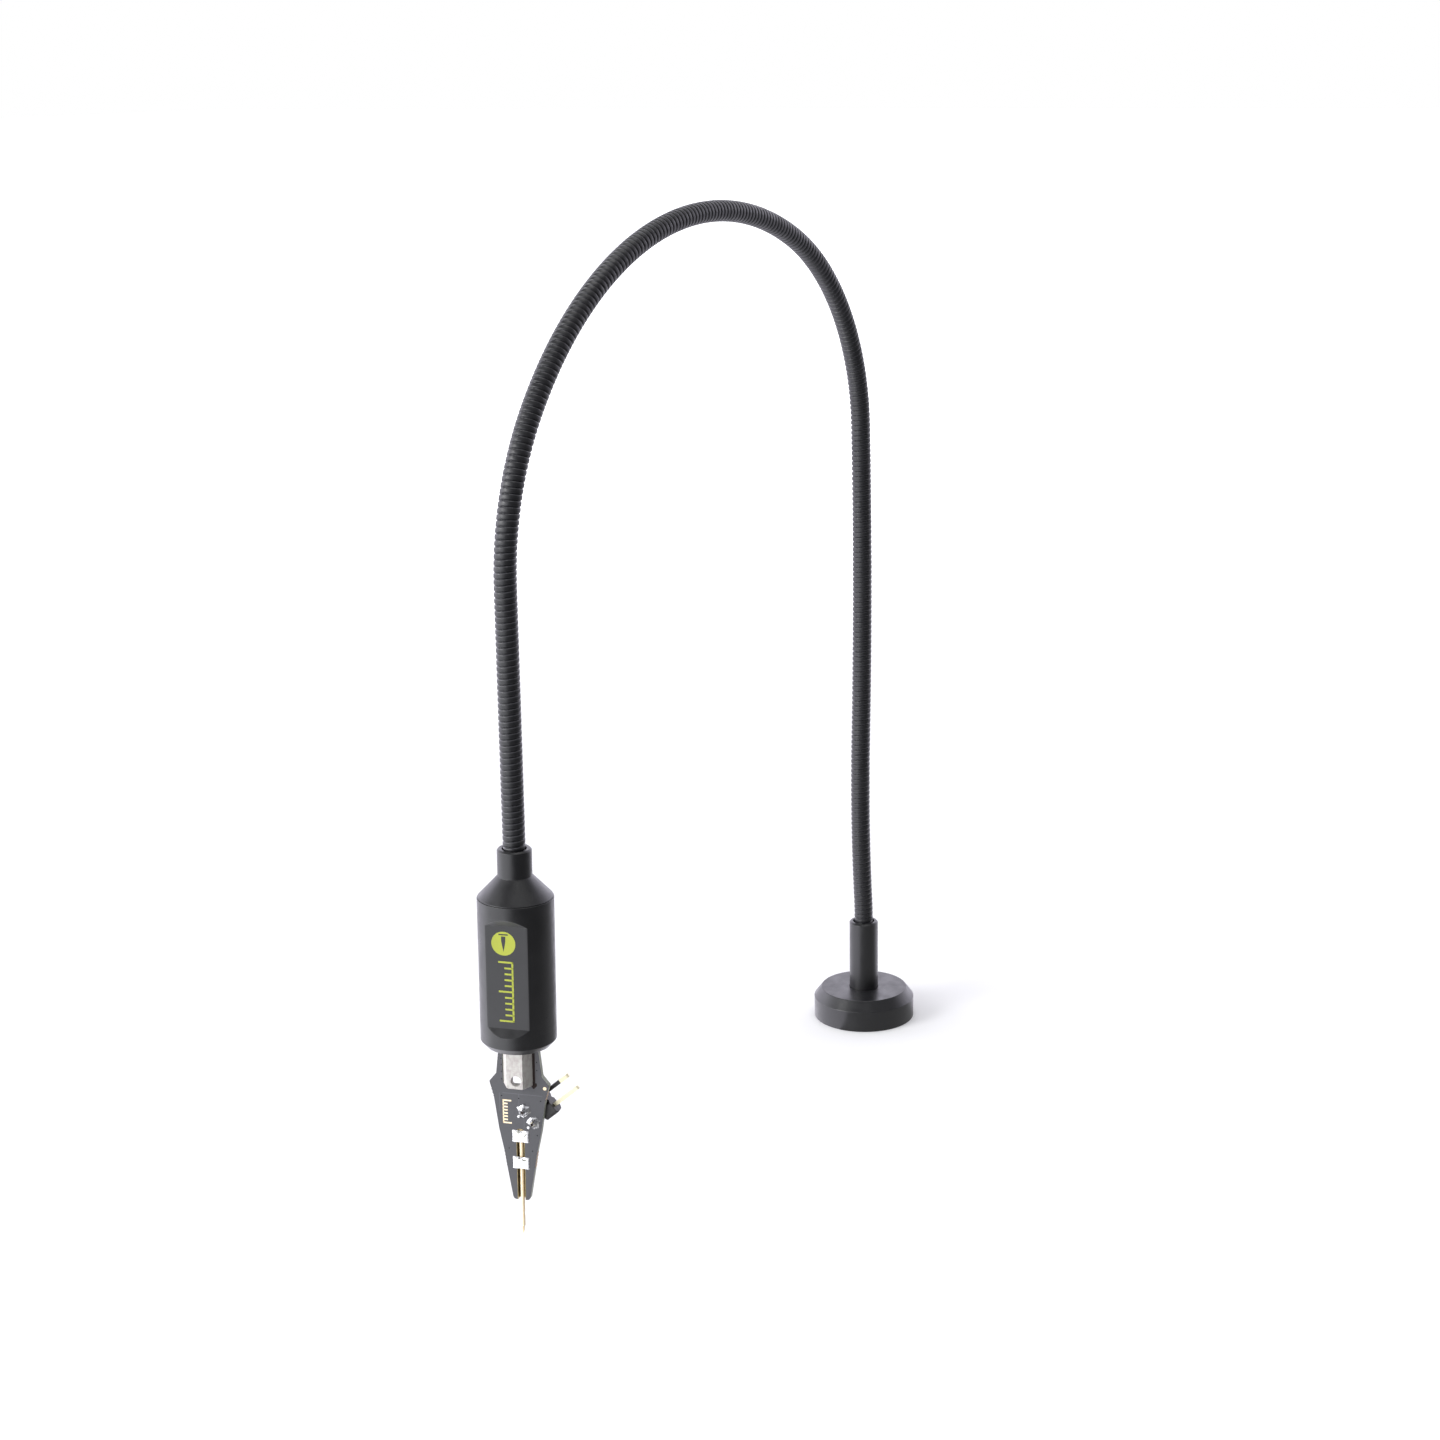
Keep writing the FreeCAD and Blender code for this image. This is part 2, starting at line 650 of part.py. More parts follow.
def needle_sleeve():
    """Tube closed above, with a crimped neck near its lower end that keeps the needle in."""
    low = CRIMP_HEIGHT - CRIMP_LENGTH / 2
    high = CRIMP_HEIGHT + CRIMP_LENGTH / 2
    neck = NEEDLE_RADIUS + NEEDLE_CLEARANCE
    slope = CRIMP_LENGTH / 2
    return turned([
        (0, SLEEVE_TOP),
        (0, SLEEVE_TOP - SLEEVE_TOP_WALL),
        (SLEEVE_BORE_RADIUS, SLEEVE_TOP - SLEEVE_TOP_WALL),
        (SLEEVE_BORE_RADIUS, high),
        (neck, high),
        (neck, low),
        (SLEEVE_BORE_RADIUS, low),
        (SLEEVE_BORE_RADIUS, SLEEVE_BOTTOM),
        (SLEEVE_RADIUS, SLEEVE_BOTTOM),
        (SLEEVE_RADIUS, low - slope),
        (SLEEVE_RADIUS - CRIMP_DEPTH, low),
        (SLEEVE_RADIUS - CRIMP_DEPTH, high),
        (SLEEVE_RADIUS, high + slope),
        (SLEEVE_RADIUS, SLEEVE_TOP),
    ])


def piston_bottom():
    """Height of the piston's shoulder, just above the sleeve's crimped neck."""
    return CRIMP_HEIGHT + CRIMP_LENGTH / 2 + PISTON_REST_GAP


def needle_plunger():
    """Pointed needle with the piston that slides in the sleeve."""
    piston = SLEEVE_BORE_RADIUS - NEEDLE_CLEARANCE
    return turned([
        (0, 0),
        (NEEDLE_RADIUS, NEEDLE_POINT_LENGTH),
        (NEEDLE_RADIUS, piston_bottom()),
        (piston, piston_bottom()),
        (piston, piston_bottom() + PISTON_LENGTH),
        (0, piston_bottom() + PISTON_LENGTH),
    ])


def needle_spring():
    """Room that the needle's fine coil spring takes up, between piston and the sleeve's end."""
    outer = SLEEVE_BORE_RADIUS - NEEDLE_CLEARANCE
    bottom = piston_bottom() + PISTON_LENGTH
    top = SLEEVE_TOP - SLEEVE_TOP_WALL
    return cylinder(outer, bottom, top).cut(cylinder(outer - SPRING_WALL, bottom, top))


# Header behind the board, drawn along its own axes and then turned

def pin_places():
    """Where the two pins pass through the board, as (x, z)."""
    angle = radians(HEADER_ANGLE)
    step = PIN_PITCH / 2
    places = []
    for sign in (-1, 1):
        x = HEADER_SIDE_OFFSET + sign * step * sin(angle)
        z = HEADER_MIDDLE_HEIGHT - sign * step * cos(angle)
        places.append((x, z))
    return places


def header_turned(solid):
    """Turn what is drawn with x along the pins and z across them into place on the board."""
    solid.rotate(V(0, 0, 0), V(0, 1, 0), -HEADER_ANGLE)
    solid.translate(V(HEADER_SIDE_OFFSET, 0, HEADER_MIDDLE_HEIGHT))
    return solid


def pin_depth():
    """Depth of the pins' free length behind the middle of the board."""
    return HALF_BOARD + BLOCK_HEIGHT / 2


def header_block():
    """Moulded block of two cells with bevelled corners, pierced by the pins."""
    half = PIN_WIDTH / 2
    cells = []
    for sign in (1, -1):
        low = sign * PIN_PITCH / 2 - PIN_PITCH / 2
        high = low + PIN_PITCH
        near = HALF_BOARD
        far = HALF_BOARD + BLOCK_HEIGHT
        bevel = BLOCK_BEVEL
        points = [
            V(0, near, low + bevel),
            V(0, near, high - bevel),
            V(0, near + bevel, high),
            V(0, far - bevel, high),
            V(0, far, high - bevel),
            V(0, far, low + bevel),
            V(0, far - bevel, low),
            V(0, near + bevel, low),
            V(0, near, low + bevel),
        ]
        cell = Part.Face(Part.makePolygon(points)).extrude(V(BLOCK_DEPTH, 0, 0))
        cell.translate(V(BLOCK_FROM_PINS, 0, 0))
        middle = sign * PIN_PITCH / 2
        depth = pin_depth()
        hole = block(0, PIN_REACH, depth - half, depth + half, middle - half, middle + half)
        cells.append(cell.cut(hole))
    return header_turned(cells[0].fuse(cells[1]).removeSplitter())


def header_pin(sign):
    """Square pin: through the board, round a bend and out along the block, with bevelled tips."""
    half = PIN_WIDTH / 2
    depth = pin_depth()
    front = -HALF_BOARD - PIN_THROUGH
    outer = PIN_BEND_RADIUS + half
    inner = PIN_BEND_RADIUS - half
    middle = PIN_BEND_RADIUS
    turn = depth - PIN_BEND_RADIUS
    bend = sqrt(0.5)
    edges = [
        Part.LineSegment(V(-half, front + PIN_POINT, 0), V(-half, turn, 0)),
        Part.Arc(
            V(-half, turn, 0),
            V(middle - outer * bend, turn + outer * bend, 0),
            V(middle, depth + half, 0),
        ),
        Part.LineSegment(V(middle, depth + half, 0), V(PIN_REACH - PIN_POINT, depth + half, 0)),
        Part.LineSegment(V(PIN_REACH - PIN_POINT, depth + half, 0), V(PIN_REACH, depth + half / 2, 0)),
        Part.LineSegment(V(PIN_REACH, depth + half / 2, 0), V(PIN_REACH, depth - half / 2, 0)),
        Part.LineSegment(V(PIN_REACH, depth - half / 2, 0), V(PIN_REACH - PIN_POINT, depth - half, 0)),
        Part.LineSegment(V(PIN_REACH - PIN_POINT, depth - half, 0), V(middle, depth - half, 0)),
        Part.Arc(
            V(middle, depth - half, 0),
            V(middle - inner * bend, turn + inner * bend, 0),
            V(half, turn, 0),
        ),
        Part.LineSegment(V(half, turn, 0), V(half, front + PIN_POINT, 0)),
        Part.LineSegment(V(half, front + PIN_POINT, 0), V(half / 2, front, 0)),
        Part.LineSegment(V(half / 2, front, 0), V(-half / 2, front, 0)),
        Part.LineSegment(V(-half / 2, front, 0), V(-half, front + PIN_POINT, 0)),
    ]
    face = Part.Face(Part.Wire([edge.toShape() for edge in edges]))
    pin = face.extrude(V(0, 0, PIN_WIDTH))
    pin.translate(V(0, 0, sign * PIN_PITCH / 2 - half))
    return header_turned(pin)


def header_joint(sign):
    """Solder round one pin: a hollow-sided cone on the face and a plug in the board's hole."""
    profile = [(0, HALF_BOARD), (PIN_HOLE_RADIUS, HALF_BOARD), (PIN_HOLE_RADIUS, -HALF_BOARD)]
    for k in range(SOLDER_STEPS + 1):
        share = k / SOLDER_STEPS
        radius = SOLDER_TIP_RADIUS + (SOLDER_RADIUS - SOLDER_TIP_RADIUS) * (1 - share) ** 2
        profile.append((radius, -HALF_BOARD - SOLDER_HEIGHT * share))
    profile.append((0, -HALF_BOARD - SOLDER_HEIGHT))
    solder = turned(profile)
    solder.rotate(V(0, 0, 0), V(1, 0, 0), -90)
    half = PIN_WIDTH / 2
    pin = block(-half, half, -BOARD_THICKNESS * 2, BOARD_THICKNESS, -half, half)
    solder = solder.cut(pin)
    solder.translate(V(0, 0, sign * PIN_PITCH / 2))
    return header_turned(solder)


def head_placement():
    """Puts the head's frame at the end of the arm, leaning with it and a little sideways."""
    runs = arm_path()
    free = sum(length for length, turn in runs) - ARM_SEAT_IN_NECK
    neck_top, heading = path_at(free)
    lean = FreeCAD.Rotation(V(0, 1, 0), heading + 180)
    side = FreeCAD.Rotation(V(1, 0, 0), HEAD_SIDE_LEAN)
    twist = FreeCAD.Rotation(V(0, 0, 1), HEAD_TWIST)
    rotation = lean.multiply(side).multiply(twist)
    tip = neck_top - rotation.multVec(V(0, 0, NECK_TOP))
    return FreeCAD.Placement(tip, rotation)


def main():
    """Build every sub-part and write each to its own file."""
    os.makedirs("parts", exist_ok=True)
    save(foot_housing(), "foot_housing")
    save(cylinder(MAGNET_RADIUS, 0, MAGNET_THICKNESS), "foot_magnet")
    save(foot_screw(), "foot_screw")
    save(stem_socket(), "stem_socket")

    joints, total = joint_distances()
    stations = [0.0] + joints + [total]
    for k in range(len(stations) - 1):
        save(arm_section(stations, k), "arm_section_%02d" % (k + 1))

    placement = head_placement()
    head = {
        "neck_cap": neck_cap(),
        "weight_barrel": weight_barrel(),
        "hex_standoff": hex_standoff(),
        "probe_board": probe_board(),
        "slot_lining": slot_lining(),
        "solder_pad_upper": solder_pad(UPPER_PAD_BOTTOM),
        "solder_pad_lower": solder_pad(LOWER_PAD_BOTTOM),
        "needle_sleeve": needle_sleeve(),
        "needle_plunger": needle_plunger(),
        "needle_spring": needle_spring(),
        "header_block": header_block(),
        "header_pin_upper": header_pin(1),
        "header_pin_lower": header_pin(-1),
        "header_joint_upper": header_joint(1),
        "header_joint_lower": header_joint(-1),
    }
    for node, shape in head.items():
        shape.Placement = placement.multiply(shape.Placement)
        save(shape, node)


main()
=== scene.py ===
"""Dresses the hands-free circuit board probe: finishes, winding, printing, floor, lamps and camera.

Lengths are millimetres until a mesh is made, where they become metres. The row's origin is the
centre of the foot's underside. The head has a frame of its own: origin at the needle's tip,
z up its axis, the board's face towards -y and its right edge towards +x.
"""
import json

import bmesh
import bpy
import numpy as np
from mathutils import Matrix, Vector


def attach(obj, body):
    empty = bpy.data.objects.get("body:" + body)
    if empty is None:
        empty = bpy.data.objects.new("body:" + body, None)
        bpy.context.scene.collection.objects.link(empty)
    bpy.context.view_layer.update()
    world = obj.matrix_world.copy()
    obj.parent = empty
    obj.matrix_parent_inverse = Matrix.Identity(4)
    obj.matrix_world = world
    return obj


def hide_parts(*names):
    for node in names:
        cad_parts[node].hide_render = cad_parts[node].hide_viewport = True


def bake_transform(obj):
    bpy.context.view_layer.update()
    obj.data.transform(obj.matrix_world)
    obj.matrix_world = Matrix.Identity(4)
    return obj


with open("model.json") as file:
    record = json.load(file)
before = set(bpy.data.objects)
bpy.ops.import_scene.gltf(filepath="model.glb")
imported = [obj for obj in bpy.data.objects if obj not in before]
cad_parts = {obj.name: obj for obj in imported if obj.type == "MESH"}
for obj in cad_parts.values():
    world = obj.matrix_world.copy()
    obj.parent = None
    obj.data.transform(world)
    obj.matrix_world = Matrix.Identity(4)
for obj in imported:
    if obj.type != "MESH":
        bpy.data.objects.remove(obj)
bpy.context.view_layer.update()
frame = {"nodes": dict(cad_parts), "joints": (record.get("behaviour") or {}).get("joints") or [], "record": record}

MM = 0.001
TAU = 2 * np.pi

# The arm's path: runs of (length, turn in degrees) from the socket's mouth, then one straight run
ARM_RUNS = ((5.1, -5.1), (33.7, 7.5), (61.1, -4.5), (46.8, -62.4), (88.6, -81.4), (27.6, -33.5))
SOCKET_TOP = 20.0
ARM_SEAT_IN_SOCKET = 9.5
ARM_START = SOCKET_TOP - ARM_SEAT_IN_SOCKET
ARM_SEAT_IN_NECK = 6.97
ARM_RADIUS = 1.834
JOINT_FROM_MOUTH = 6.0

# The winding: one right-handed round strip, its turns a pitch apart
WINDING_PITCH = 0.985
WINDING_SAMPLES = 12
WINDING_SEGMENTS = 24
GROOVE_DEPTH = 0.30
GROOVE_SHARPNESS = 0.085
BAND_CROWN = 0.07

# The head's place
HEAD_LEAN = 0.6
HEAD_SIDE_LEAN = 0.64
HEAD_TWIST = -70.65
NECK_TOP = 67.5


def turn_matrix(axis, degrees):
    """A 3 by 3 rotation about a row axis."""
    return np.array(Matrix.Rotation(np.radians(degrees), 3, axis))


HEAD_LEANS = turn_matrix("Y", HEAD_LEAN) @ turn_matrix("X", HEAD_SIDE_LEAN)
HEAD_ROTATION = HEAD_LEANS @ turn_matrix("Z", HEAD_TWIST)
TIP = np.array([m["pos_m"] for m in frame["record"]["mounts"] if m["name"] == "needle_tip"][0]) / MM


def in_head(points):
    """Points of the head's frame carried to the row's frame: turned, then moved to the tip."""
    return points @ HEAD_ROTATION.T + TIP


def to_head(points):
    """Points of the row's frame carried back to the head's frame."""
    return (points - TIP) @ HEAD_ROTATION


# Meshes from grids of points

def linked(name, data):
    """An object that holds some data, placed in the scene."""
    made = bpy.data.objects.new(name, data)
    bpy.context.scene.collection.objects.link(made)
    return made


def mesh_object(name, points, quads, triangles, uv=None):
    """A mesh object from points in millimetres and index arrays, its faces turned outwards.

    The sign of the enclosed volume, a sixth of the sum of each triangle's corner determinant,
    says whether the loops have to be reversed.
    """
    fans = np.concatenate([quads[:, [0, 1, 2]], quads[:, [0, 2, 3]], triangles])
    a, b, c = points[fans[:, 0]], points[fans[:, 1]], points[fans[:, 2]]
    if np.einsum("ij,ij->", a, np.cross(b, c)) < 0:
        quads = quads[:, ::-1]
        triangles = triangles[:, ::-1]
        if uv is not None:
            uv = (uv[0][:, ::-1], uv[1][:, ::-1])
    mesh = bpy.data.meshes.new(name)
    mesh.vertices.add(len(points))
    mesh.vertices.foreach_set("co", (points * MM).astype(np.float32).ravel())
    corners = np.concatenate([quads.ravel(), triangles.ravel()])
    starts = np.concatenate([4 * np.arange(len(quads)), 4 * len(quads) + 3 * np.arange(len(triangles))])
    mesh.loops.add(len(corners))
    mesh.loops.foreach_set("vertex_index", corners.astype(np.int32))
    mesh.polygons.add(len(starts))
    mesh.polygons.foreach_set("loop_start", starts.astype(np.int32))
    if uv is not None:
        layer = mesh.uv_layers.new(name="winding")
        flat = np.concatenate([uv[0].reshape(-1, 2), uv[1].reshape(-1, 2)])
        layer.data.foreach_set("uv", flat.astype(np.float32).ravel())
    mesh.update(calc_edges=True)
    mesh.validate()
    mesh.shade_smooth()
    return linked(name, mesh)


def tube_indices(rows, columns):
    """Quads between neighbouring rows of a grid whose columns close on themselves."""
    i, j = np.meshgrid(np.arange(rows - 1), np.arange(columns), indexing="ij")
    ahead = (j + 1) % columns
    low, high = i * columns, (i + 1) * columns
    return np.stack([low + j, low + ahead, high + ahead, high + j], -1).reshape(-1, 4)


def end_caps(grid):
    """Fans over the first and last rows of grid[row, column], each with its own copy of the row.

    The points are numbered on from the grid's own. Gives the points and the triangles.
    """
    rows, columns = grid.shape[:2]
    points = []
    triangles = []
    j = np.arange(columns)
    ahead = (j + 1) % columns
    offset = rows * columns
    for row in (0, rows - 1):
        points.append(grid[row])
        points.append(grid[row].mean(0, keepdims=True))
        fan = np.stack([np.full(columns, offset + columns), offset + ahead, offset + j], -1)
        triangles.append(fan if row == 0 else fan[:, ::-1])
        offset += columns + 1
    return np.concatenate(points), np.concatenate(triangles)


def shell(grid):
    """A closed skin over grid[row, column] with its ends capped, faces outwards: points, triangles."""
    cap_points, fans = end_caps(grid)
    quads = tube_indices(*grid.shape[:2])
    points = np.concatenate([grid.reshape(-1, 3), cap_points])
    triangles = np.concatenate([quads[:, [0, 1, 2]], quads[:, [0, 2, 3]], fans])
    a, b, c = points[triangles[:, 0]], points[triangles[:, 1]], points[triangles[:, 2]]
    if np.einsum("ij,ij->", a - points[0], np.cross(b - points[0], c - points[0])) < 0:
        triangles = triangles[:, ::-1]
    return points, triangles


def joined(name, shells, place=None):
    """One object from several closed skins."""
    points = []
    triangles = []
    offset = 0
    for own_points, own_triangles in shells:
        points.append(own_points)
        triangles.append(own_triangles + offset)
        offset += len(own_points)
    points = np.concatenate(points)
    if place is not None:
        points = place(points)
    return mesh_object(name, points, np.zeros((0, 4), int), np.concatenate(triangles))


def slab(outline, front, back):
    """A flat plate in the head's frame: a convex (x, z) outline from y = front to y = back."""
    outline = np.asarray(outline, float)
    grid = np.zeros((2, len(outline), 3))
    grid[:, :, 0] = outline[:, 0]
    grid[:, :, 2] = outline[:, 1]
    grid[0, :, 1] = front
    grid[1, :, 1] = back
    return shell(grid)


def circle(radius, count):
    """Points (x, y) evenly round a circle."""
    angle = TAU * np.arange(count) / count
    return np.stack([radius * np.cos(angle), radius * np.sin(angle)], -1)


def disc(x, z, radius, front, back, count=24):
    """A round plate in the head's frame."""
    return slab(circle(radius, count) + (x, z), front, back)


def bar(x0, x1, z0, z1, front, back):
    """A rectangular plate in the head's frame."""
    return slab([(x0, z0), (x1, z0), (x1, z1), (x0, z1)], front, back)


def ball(x, y, z, radius):
    """A small round ball from rings of latitude."""
    height = np.linspace(-0.98, 0.98, 9)[:, None]
    ring = np.sqrt(1 - height ** 2) * radius
    across, up = circle(1.0, 12).T
    return shell(np.stack([x + ring * across, y + radius * height + 0 * across, z + ring * up], -1))


def cleaned(shape, near, degrees):
    """Joins a shape's points that lie together, and makes its flat faces whole."""
    bmesh.ops.remove_doubles(shape, verts=shape.verts, dist=near)
    bmesh.ops.dissolve_limit(shape, angle_limit=np.radians(degrees), verts=shape.verts, edges=shape.edges)


def softened(piece, width, degrees, segments):
    """Bevels the edges that are sharper than an angle, and keeps flats flat when shaded smooth."""
    edge = piece.modifiers.new("edges", "BEVEL")
    edge.limit_method = "ANGLE"
    edge.angle_limit = np.radians(degrees)
    edge.width = width * MM
    edge.segments = segments
    normals = piece.modifiers.new("normals", "WEIGHTED_NORMAL")
    normals.keep_sharp = True


def edged_copy(node, name, width, smooth=True):
    """A new mesh in a CAD node's shape: split corners joined, flat faces made whole, edges eased."""
    shape = bmesh.new()
    shape.from_mesh(frame["nodes"][node].data)
    cleaned(shape, 1e-7, 0.3)
    mesh = bpy.data.meshes.new(name)
    shape.to_mesh(mesh)
    shape.free()
    if smooth:
        mesh.shade_smooth()
    else:
        mesh.shade_flat()
    piece = linked(name, mesh)
    if width > 0:
        softened(piece, width, 28, 2)
    return piece


def eased(profile, radius, steps=4, support=0.06):
    """A profile of (radius, height) points with each inner corner rounded.

    At a corner the arc runs between the two points a tangent length away along its sides, and a
    supporting point stands just beyond each end, so that flats stay flat when shaded smooth.
    The tangent length is the arc's radius divided by the tangent of half the corner's angle.
    """
    profile = np.asarray(profile, float)
    found = [profile[0]]
    for before, here, after in zip(profile[:-2], profile[1:-1], profile[2:]):
        back = (before - here) / np.linalg.norm(before - here)
        ahead = (after - here) / np.linalg.norm(after - here)
        half = np.arccos(np.clip(back @ ahead, -1, 1)) / 2
        room = 0.4 * min(np.linalg.norm(before - here), np.linalg.norm(after - here))
        reach = min(radius / np.tan(half), room)
        true = reach * np.tan(half)
        centre = here + (back + ahead) / np.linalg.norm(back + ahead) * true / np.sin(half)
        first = here + back * reach
        last = here + ahead * reach
        u, v = first - centre, last - centre
        span = np.arccos(np.clip(u @ v / true ** 2, -1, 1))
        extra = min(support, room * 0.2)
        found.append(first + back * extra)
        for t in np.linspace(0, 1, steps + 1):
            found.append(centre + (np.sin((1 - t) * span) * u + np.sin(t * span) * v) / np.sin(span))
        found.append(last + ahead * extra)
    found.append(profile[-1])
    return np.array(found)


def turned(name, profile, segments=96, place=None):
    """A turned solid: each profile point (r, z) swept round to (r cos a, r sin a, z).

    The profile starts and ends on the axis, and its two end points become the poles.
    """
    r, z = profile[1:-1, 0], profile[1:-1, 1]
    angle = TAU * np.arange(segments) / segments
    across = r[:, None]
    heights = np.repeat(z[:, None], segments, 1)
    ring = np.stack([across * np.cos(angle), across * np.sin(angle), heights], -1)
    rows = len(r)
    poles = np.array([[0, 0, profile[0, 1]], [0, 0, profile[-1, 1]]])
    points = np.concatenate([ring.reshape(-1, 3), poles])
    j = np.arange(segments)
    ahead = (j + 1) % segments
    low = np.stack([np.full(segments, rows * segments), ahead, j], -1)
    last = (rows - 1) * segments
    high = np.stack([np.full(segments, rows * segments + 1), last + j, last + ahead], -1)
    if place is not None:
        points = place(points)
    return mesh_object(name, points, tube_indices(rows, segments), np.concatenate([low, high]))


def finish_piece(piece, material, body, slot, *nodes):
    """Gives a piece its material, the body that it rides on and the nodes that it stands for."""
    piece.data.materials.clear()
    piece.data.materials.append(material)
    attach(piece, body)
    if nodes:
        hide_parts(*nodes)
    return piece


def head_piece(name, shells, material, slot, *nodes):
    """A finished piece that rides on the head, from closed skins in the head's frame."""
    return finish_piece(joined(name, shells, in_head), material, "head", slot, *nodes)


# Shader building blocks

def new_group(name, inputs, outputs):
    """An empty shader group with named sockets: the group, what it is given and what it results in."""
    group = bpy.data.node_groups.new(name, "ShaderNodeTree")
    kinds = {"value": "NodeSocketFloat", "colour": "NodeSocketColor", "vector": "NodeSocketVector"}
    for label, kind, default in inputs:
        socket = group.interface.new_socket(name=label, in_out="INPUT", socket_type=kinds[kind])
        if default is not None:
            socket.default_value = default
    for label, kind in outputs:
        group.interface.new_socket(name=label, in_out="OUTPUT", socket_type=kinds[kind])
    return group, group.nodes.new("NodeGroupInput").outputs, group.nodes.new("NodeGroupOutput").inputs


def add(tree, kind, links=(), **values):
    """A node with its properties set; links are (input name or number, source socket or value)."""
    made = tree.nodes.new(kind)
    for key, value in values.items():
        setattr(made, key, value)
    for key, source in links:
        if isinstance(source, bpy.types.NodeSocket):
            tree.links.new(source, made.inputs[key])
        else:
            made.inputs[key].default_value = source
    return made


def maths(tree, operation, a, b=0.0, clamp=False):
    """One Math node's result."""
    made = add(tree, "ShaderNodeMath", [(0, a), (1, b)], operation=operation, use_clamp=clamp)
    return made.outputs[0]


def times(tree, a, b):
    """Two values multiplied."""
    return maths(tree, "MULTIPLY", a, b)


def plus(tree, a, b):
    """Two values added."""
    return maths(tree, "ADD", a, b)


def noise(tree, where, scale, detail, rough=0.5):
    """A Noise texture's value."""
    made = add(tree, "ShaderNodeTexNoise", [
        ("Vector", where), ("Scale", scale), ("Detail", detail), ("Roughness", rough),
    ])
    return made.outputs["Fac"]


def scaled(tree, colour, share):
    """A colour or a direction multiplied by a value, or part by part by another."""
    made = add(tree, "ShaderNodeVectorMath", [(0, colour), (1, share)], operation="MULTIPLY")
    return made.outputs[0]


def ramp(tree, value, low, high, start=0.0, end=1.0):
    """A value carried from low..high to start..end, smoothly and clamped."""
    made = add(
        tree, "ShaderNodeMapRange",
        [("Value", value), ("From Min", low), ("From Max", high), ("To Min", start), ("To Max", end)],
        interpolation_type="SMOOTHSTEP",
    )
    return made.outputs["Result"]


def mixed(tree, share, a, b):
    """Two colours mixed by a share."""
    made = add(tree, "ShaderNodeMix", [(0, share), (6, a), (7, b)], data_type="RGBA")
    return made.outputs[2]


def grain_group():
    """Fine speckle of a blasted or moulded surface, and slow blotches over it.

    Takes the position, a scale in cells to the metre and two strengths, and gives a tint that
    multiplies the colour, a height, and a roughness change about nought.
    """
    group, given, result = new_group(
        "speckle_and_blotch",
        [("Position", "vector", None), ("Scale", "value", 4000.0), ("Speckle", "value", 0.1),
         ("Blotch", "value", 0.1)],
        [("Tint", "value"), ("Height", "value"), ("Rough", "value")],
    )
    fine = noise(group, given["Position"], given["Scale"], 4.0, 0.6)
    broad = noise(group, given["Position"], times(group, given["Scale"], 0.045), 3.0)
    speck = maths(group, "SUBTRACT", fine, 0.5)
    blotch = maths(group, "SUBTRACT", broad, 0.5)
    total = plus(group, times(group, speck, given["Speckle"]), times(group, blotch, given["Blotch"]))
    group.links.new(plus(group, total, 1.0), result["Tint"])
    group.links.new(fine, result["Height"])
    group.links.new(times(group, blotch, 0.35), result["Rough"])
    return group


def turning_group():
    """Fine rings that a lathe tool leaves: noise stretched flat across the axis z."""
    group, given, result = new_group(
        "turning_rings",
        [("Position", "vector", None), ("Rings", "value", 9000.0)],
        [("Height", "value")],
    )
    flat = scaled(group, given["Position"], (0.04, 0.04, 1.0))
    group.links.new(noise(group, flat, given["Rings"], 3.0, 0.55), result["Height"])
    return group


def tarnish_and_reflection_group():
    """Cloudy patches of plated metal, tarnish on most and painted dark reflection on the solder cones' tin: a mask
    of slow patches broken by fine streaks along z.
    """
    group, given, result = new_group(
        "tarnish_and_reflection",
        [("Position", "vector", None), ("Patches", "value", 900.0), ("Amount", "value", 0.5)],
        [("Mask", "value"), ("Height", "value")],
    )
    patch = noise(group, given["Position"], given["Patches"], 5.0, 0.65)
    stretched = scaled(group, given["Position"], (1.0, 1.0, 0.08))
    streak = noise(group, stretched, times(group, given["Patches"], 9.0), 2.0)
    both = times(group, patch, plus(group, streak, 0.45))
    group.links.new(times(group, ramp(group, both, 0.35, 0.68), given["Amount"]), result["Mask"])
    group.links.new(streak, result["Height"])
    return group


GRAIN = grain_group()
TURNING = turning_group()
TARNISH_AND_REFLECTION = tarnish_and_reflection_group()


def place_group(tree, group, links):
    """A shared group placed in a material: its results."""
    return add(tree, "ShaderNodeGroup", links, node_tree=group).outputs


def speckled(tree, where, scale, speckle, blotch):
    """The shared grain at a scale, with its two strengths."""
    return place_group(tree, GRAIN, [
        ("Position", where), ("Scale", scale), ("Speckle", speckle), ("Blotch", blotch),
    ])


def blank_material(name, gloss=0.5):
    """A material with its Principled shader, tree and object position."""
    material = bpy.data.materials.new(name)
    material.use_nodes = True
    tree = material.node_tree
    shader = tree.nodes["Principled BSDF"]
    shader.inputs["Specular IOR Level"].default_value = gloss
    where = tree.nodes.new("ShaderNodeTexCoord")
    return material, tree, shader, where.outputs["Object"]


def surfaced(tree, shader, colour, roughness, height, bump, distance=0.00002):
    """Links a shader's colour, roughness and bump."""
    tree.links.new(colour, shader.inputs["Base Color"])
    tree.links.new(roughness, shader.inputs["Roughness"])
    made = add(tree, "ShaderNodeBump", [("Height", height), ("Strength", bump), ("Distance", distance)])
    tree.links.new(made.outputs["Normal"], shader.inputs["Normal"])


def turned_black(name, base=0.006, rough=0.36):
    """Matte black anodised metal: fine blasted speckle over faint lathe rings."""
    material, tree, shader, where = blank_material(name, 0.62)
    grain = speckled(tree, where, 9000.0, 0.55, 0.25)
    rings = place_group(tree, TURNING, [("Position", where), ("Rings", 9000.0)])
    colour = scaled(tree, (base, base, base * 1.12), grain["Tint"])
    height = plus(tree, grain["Height"], times(tree, rings["Height"], 0.8))
    surfaced(tree, shader, colour, plus(tree, grain["Rough"], rough), height, 0.25)
    return material


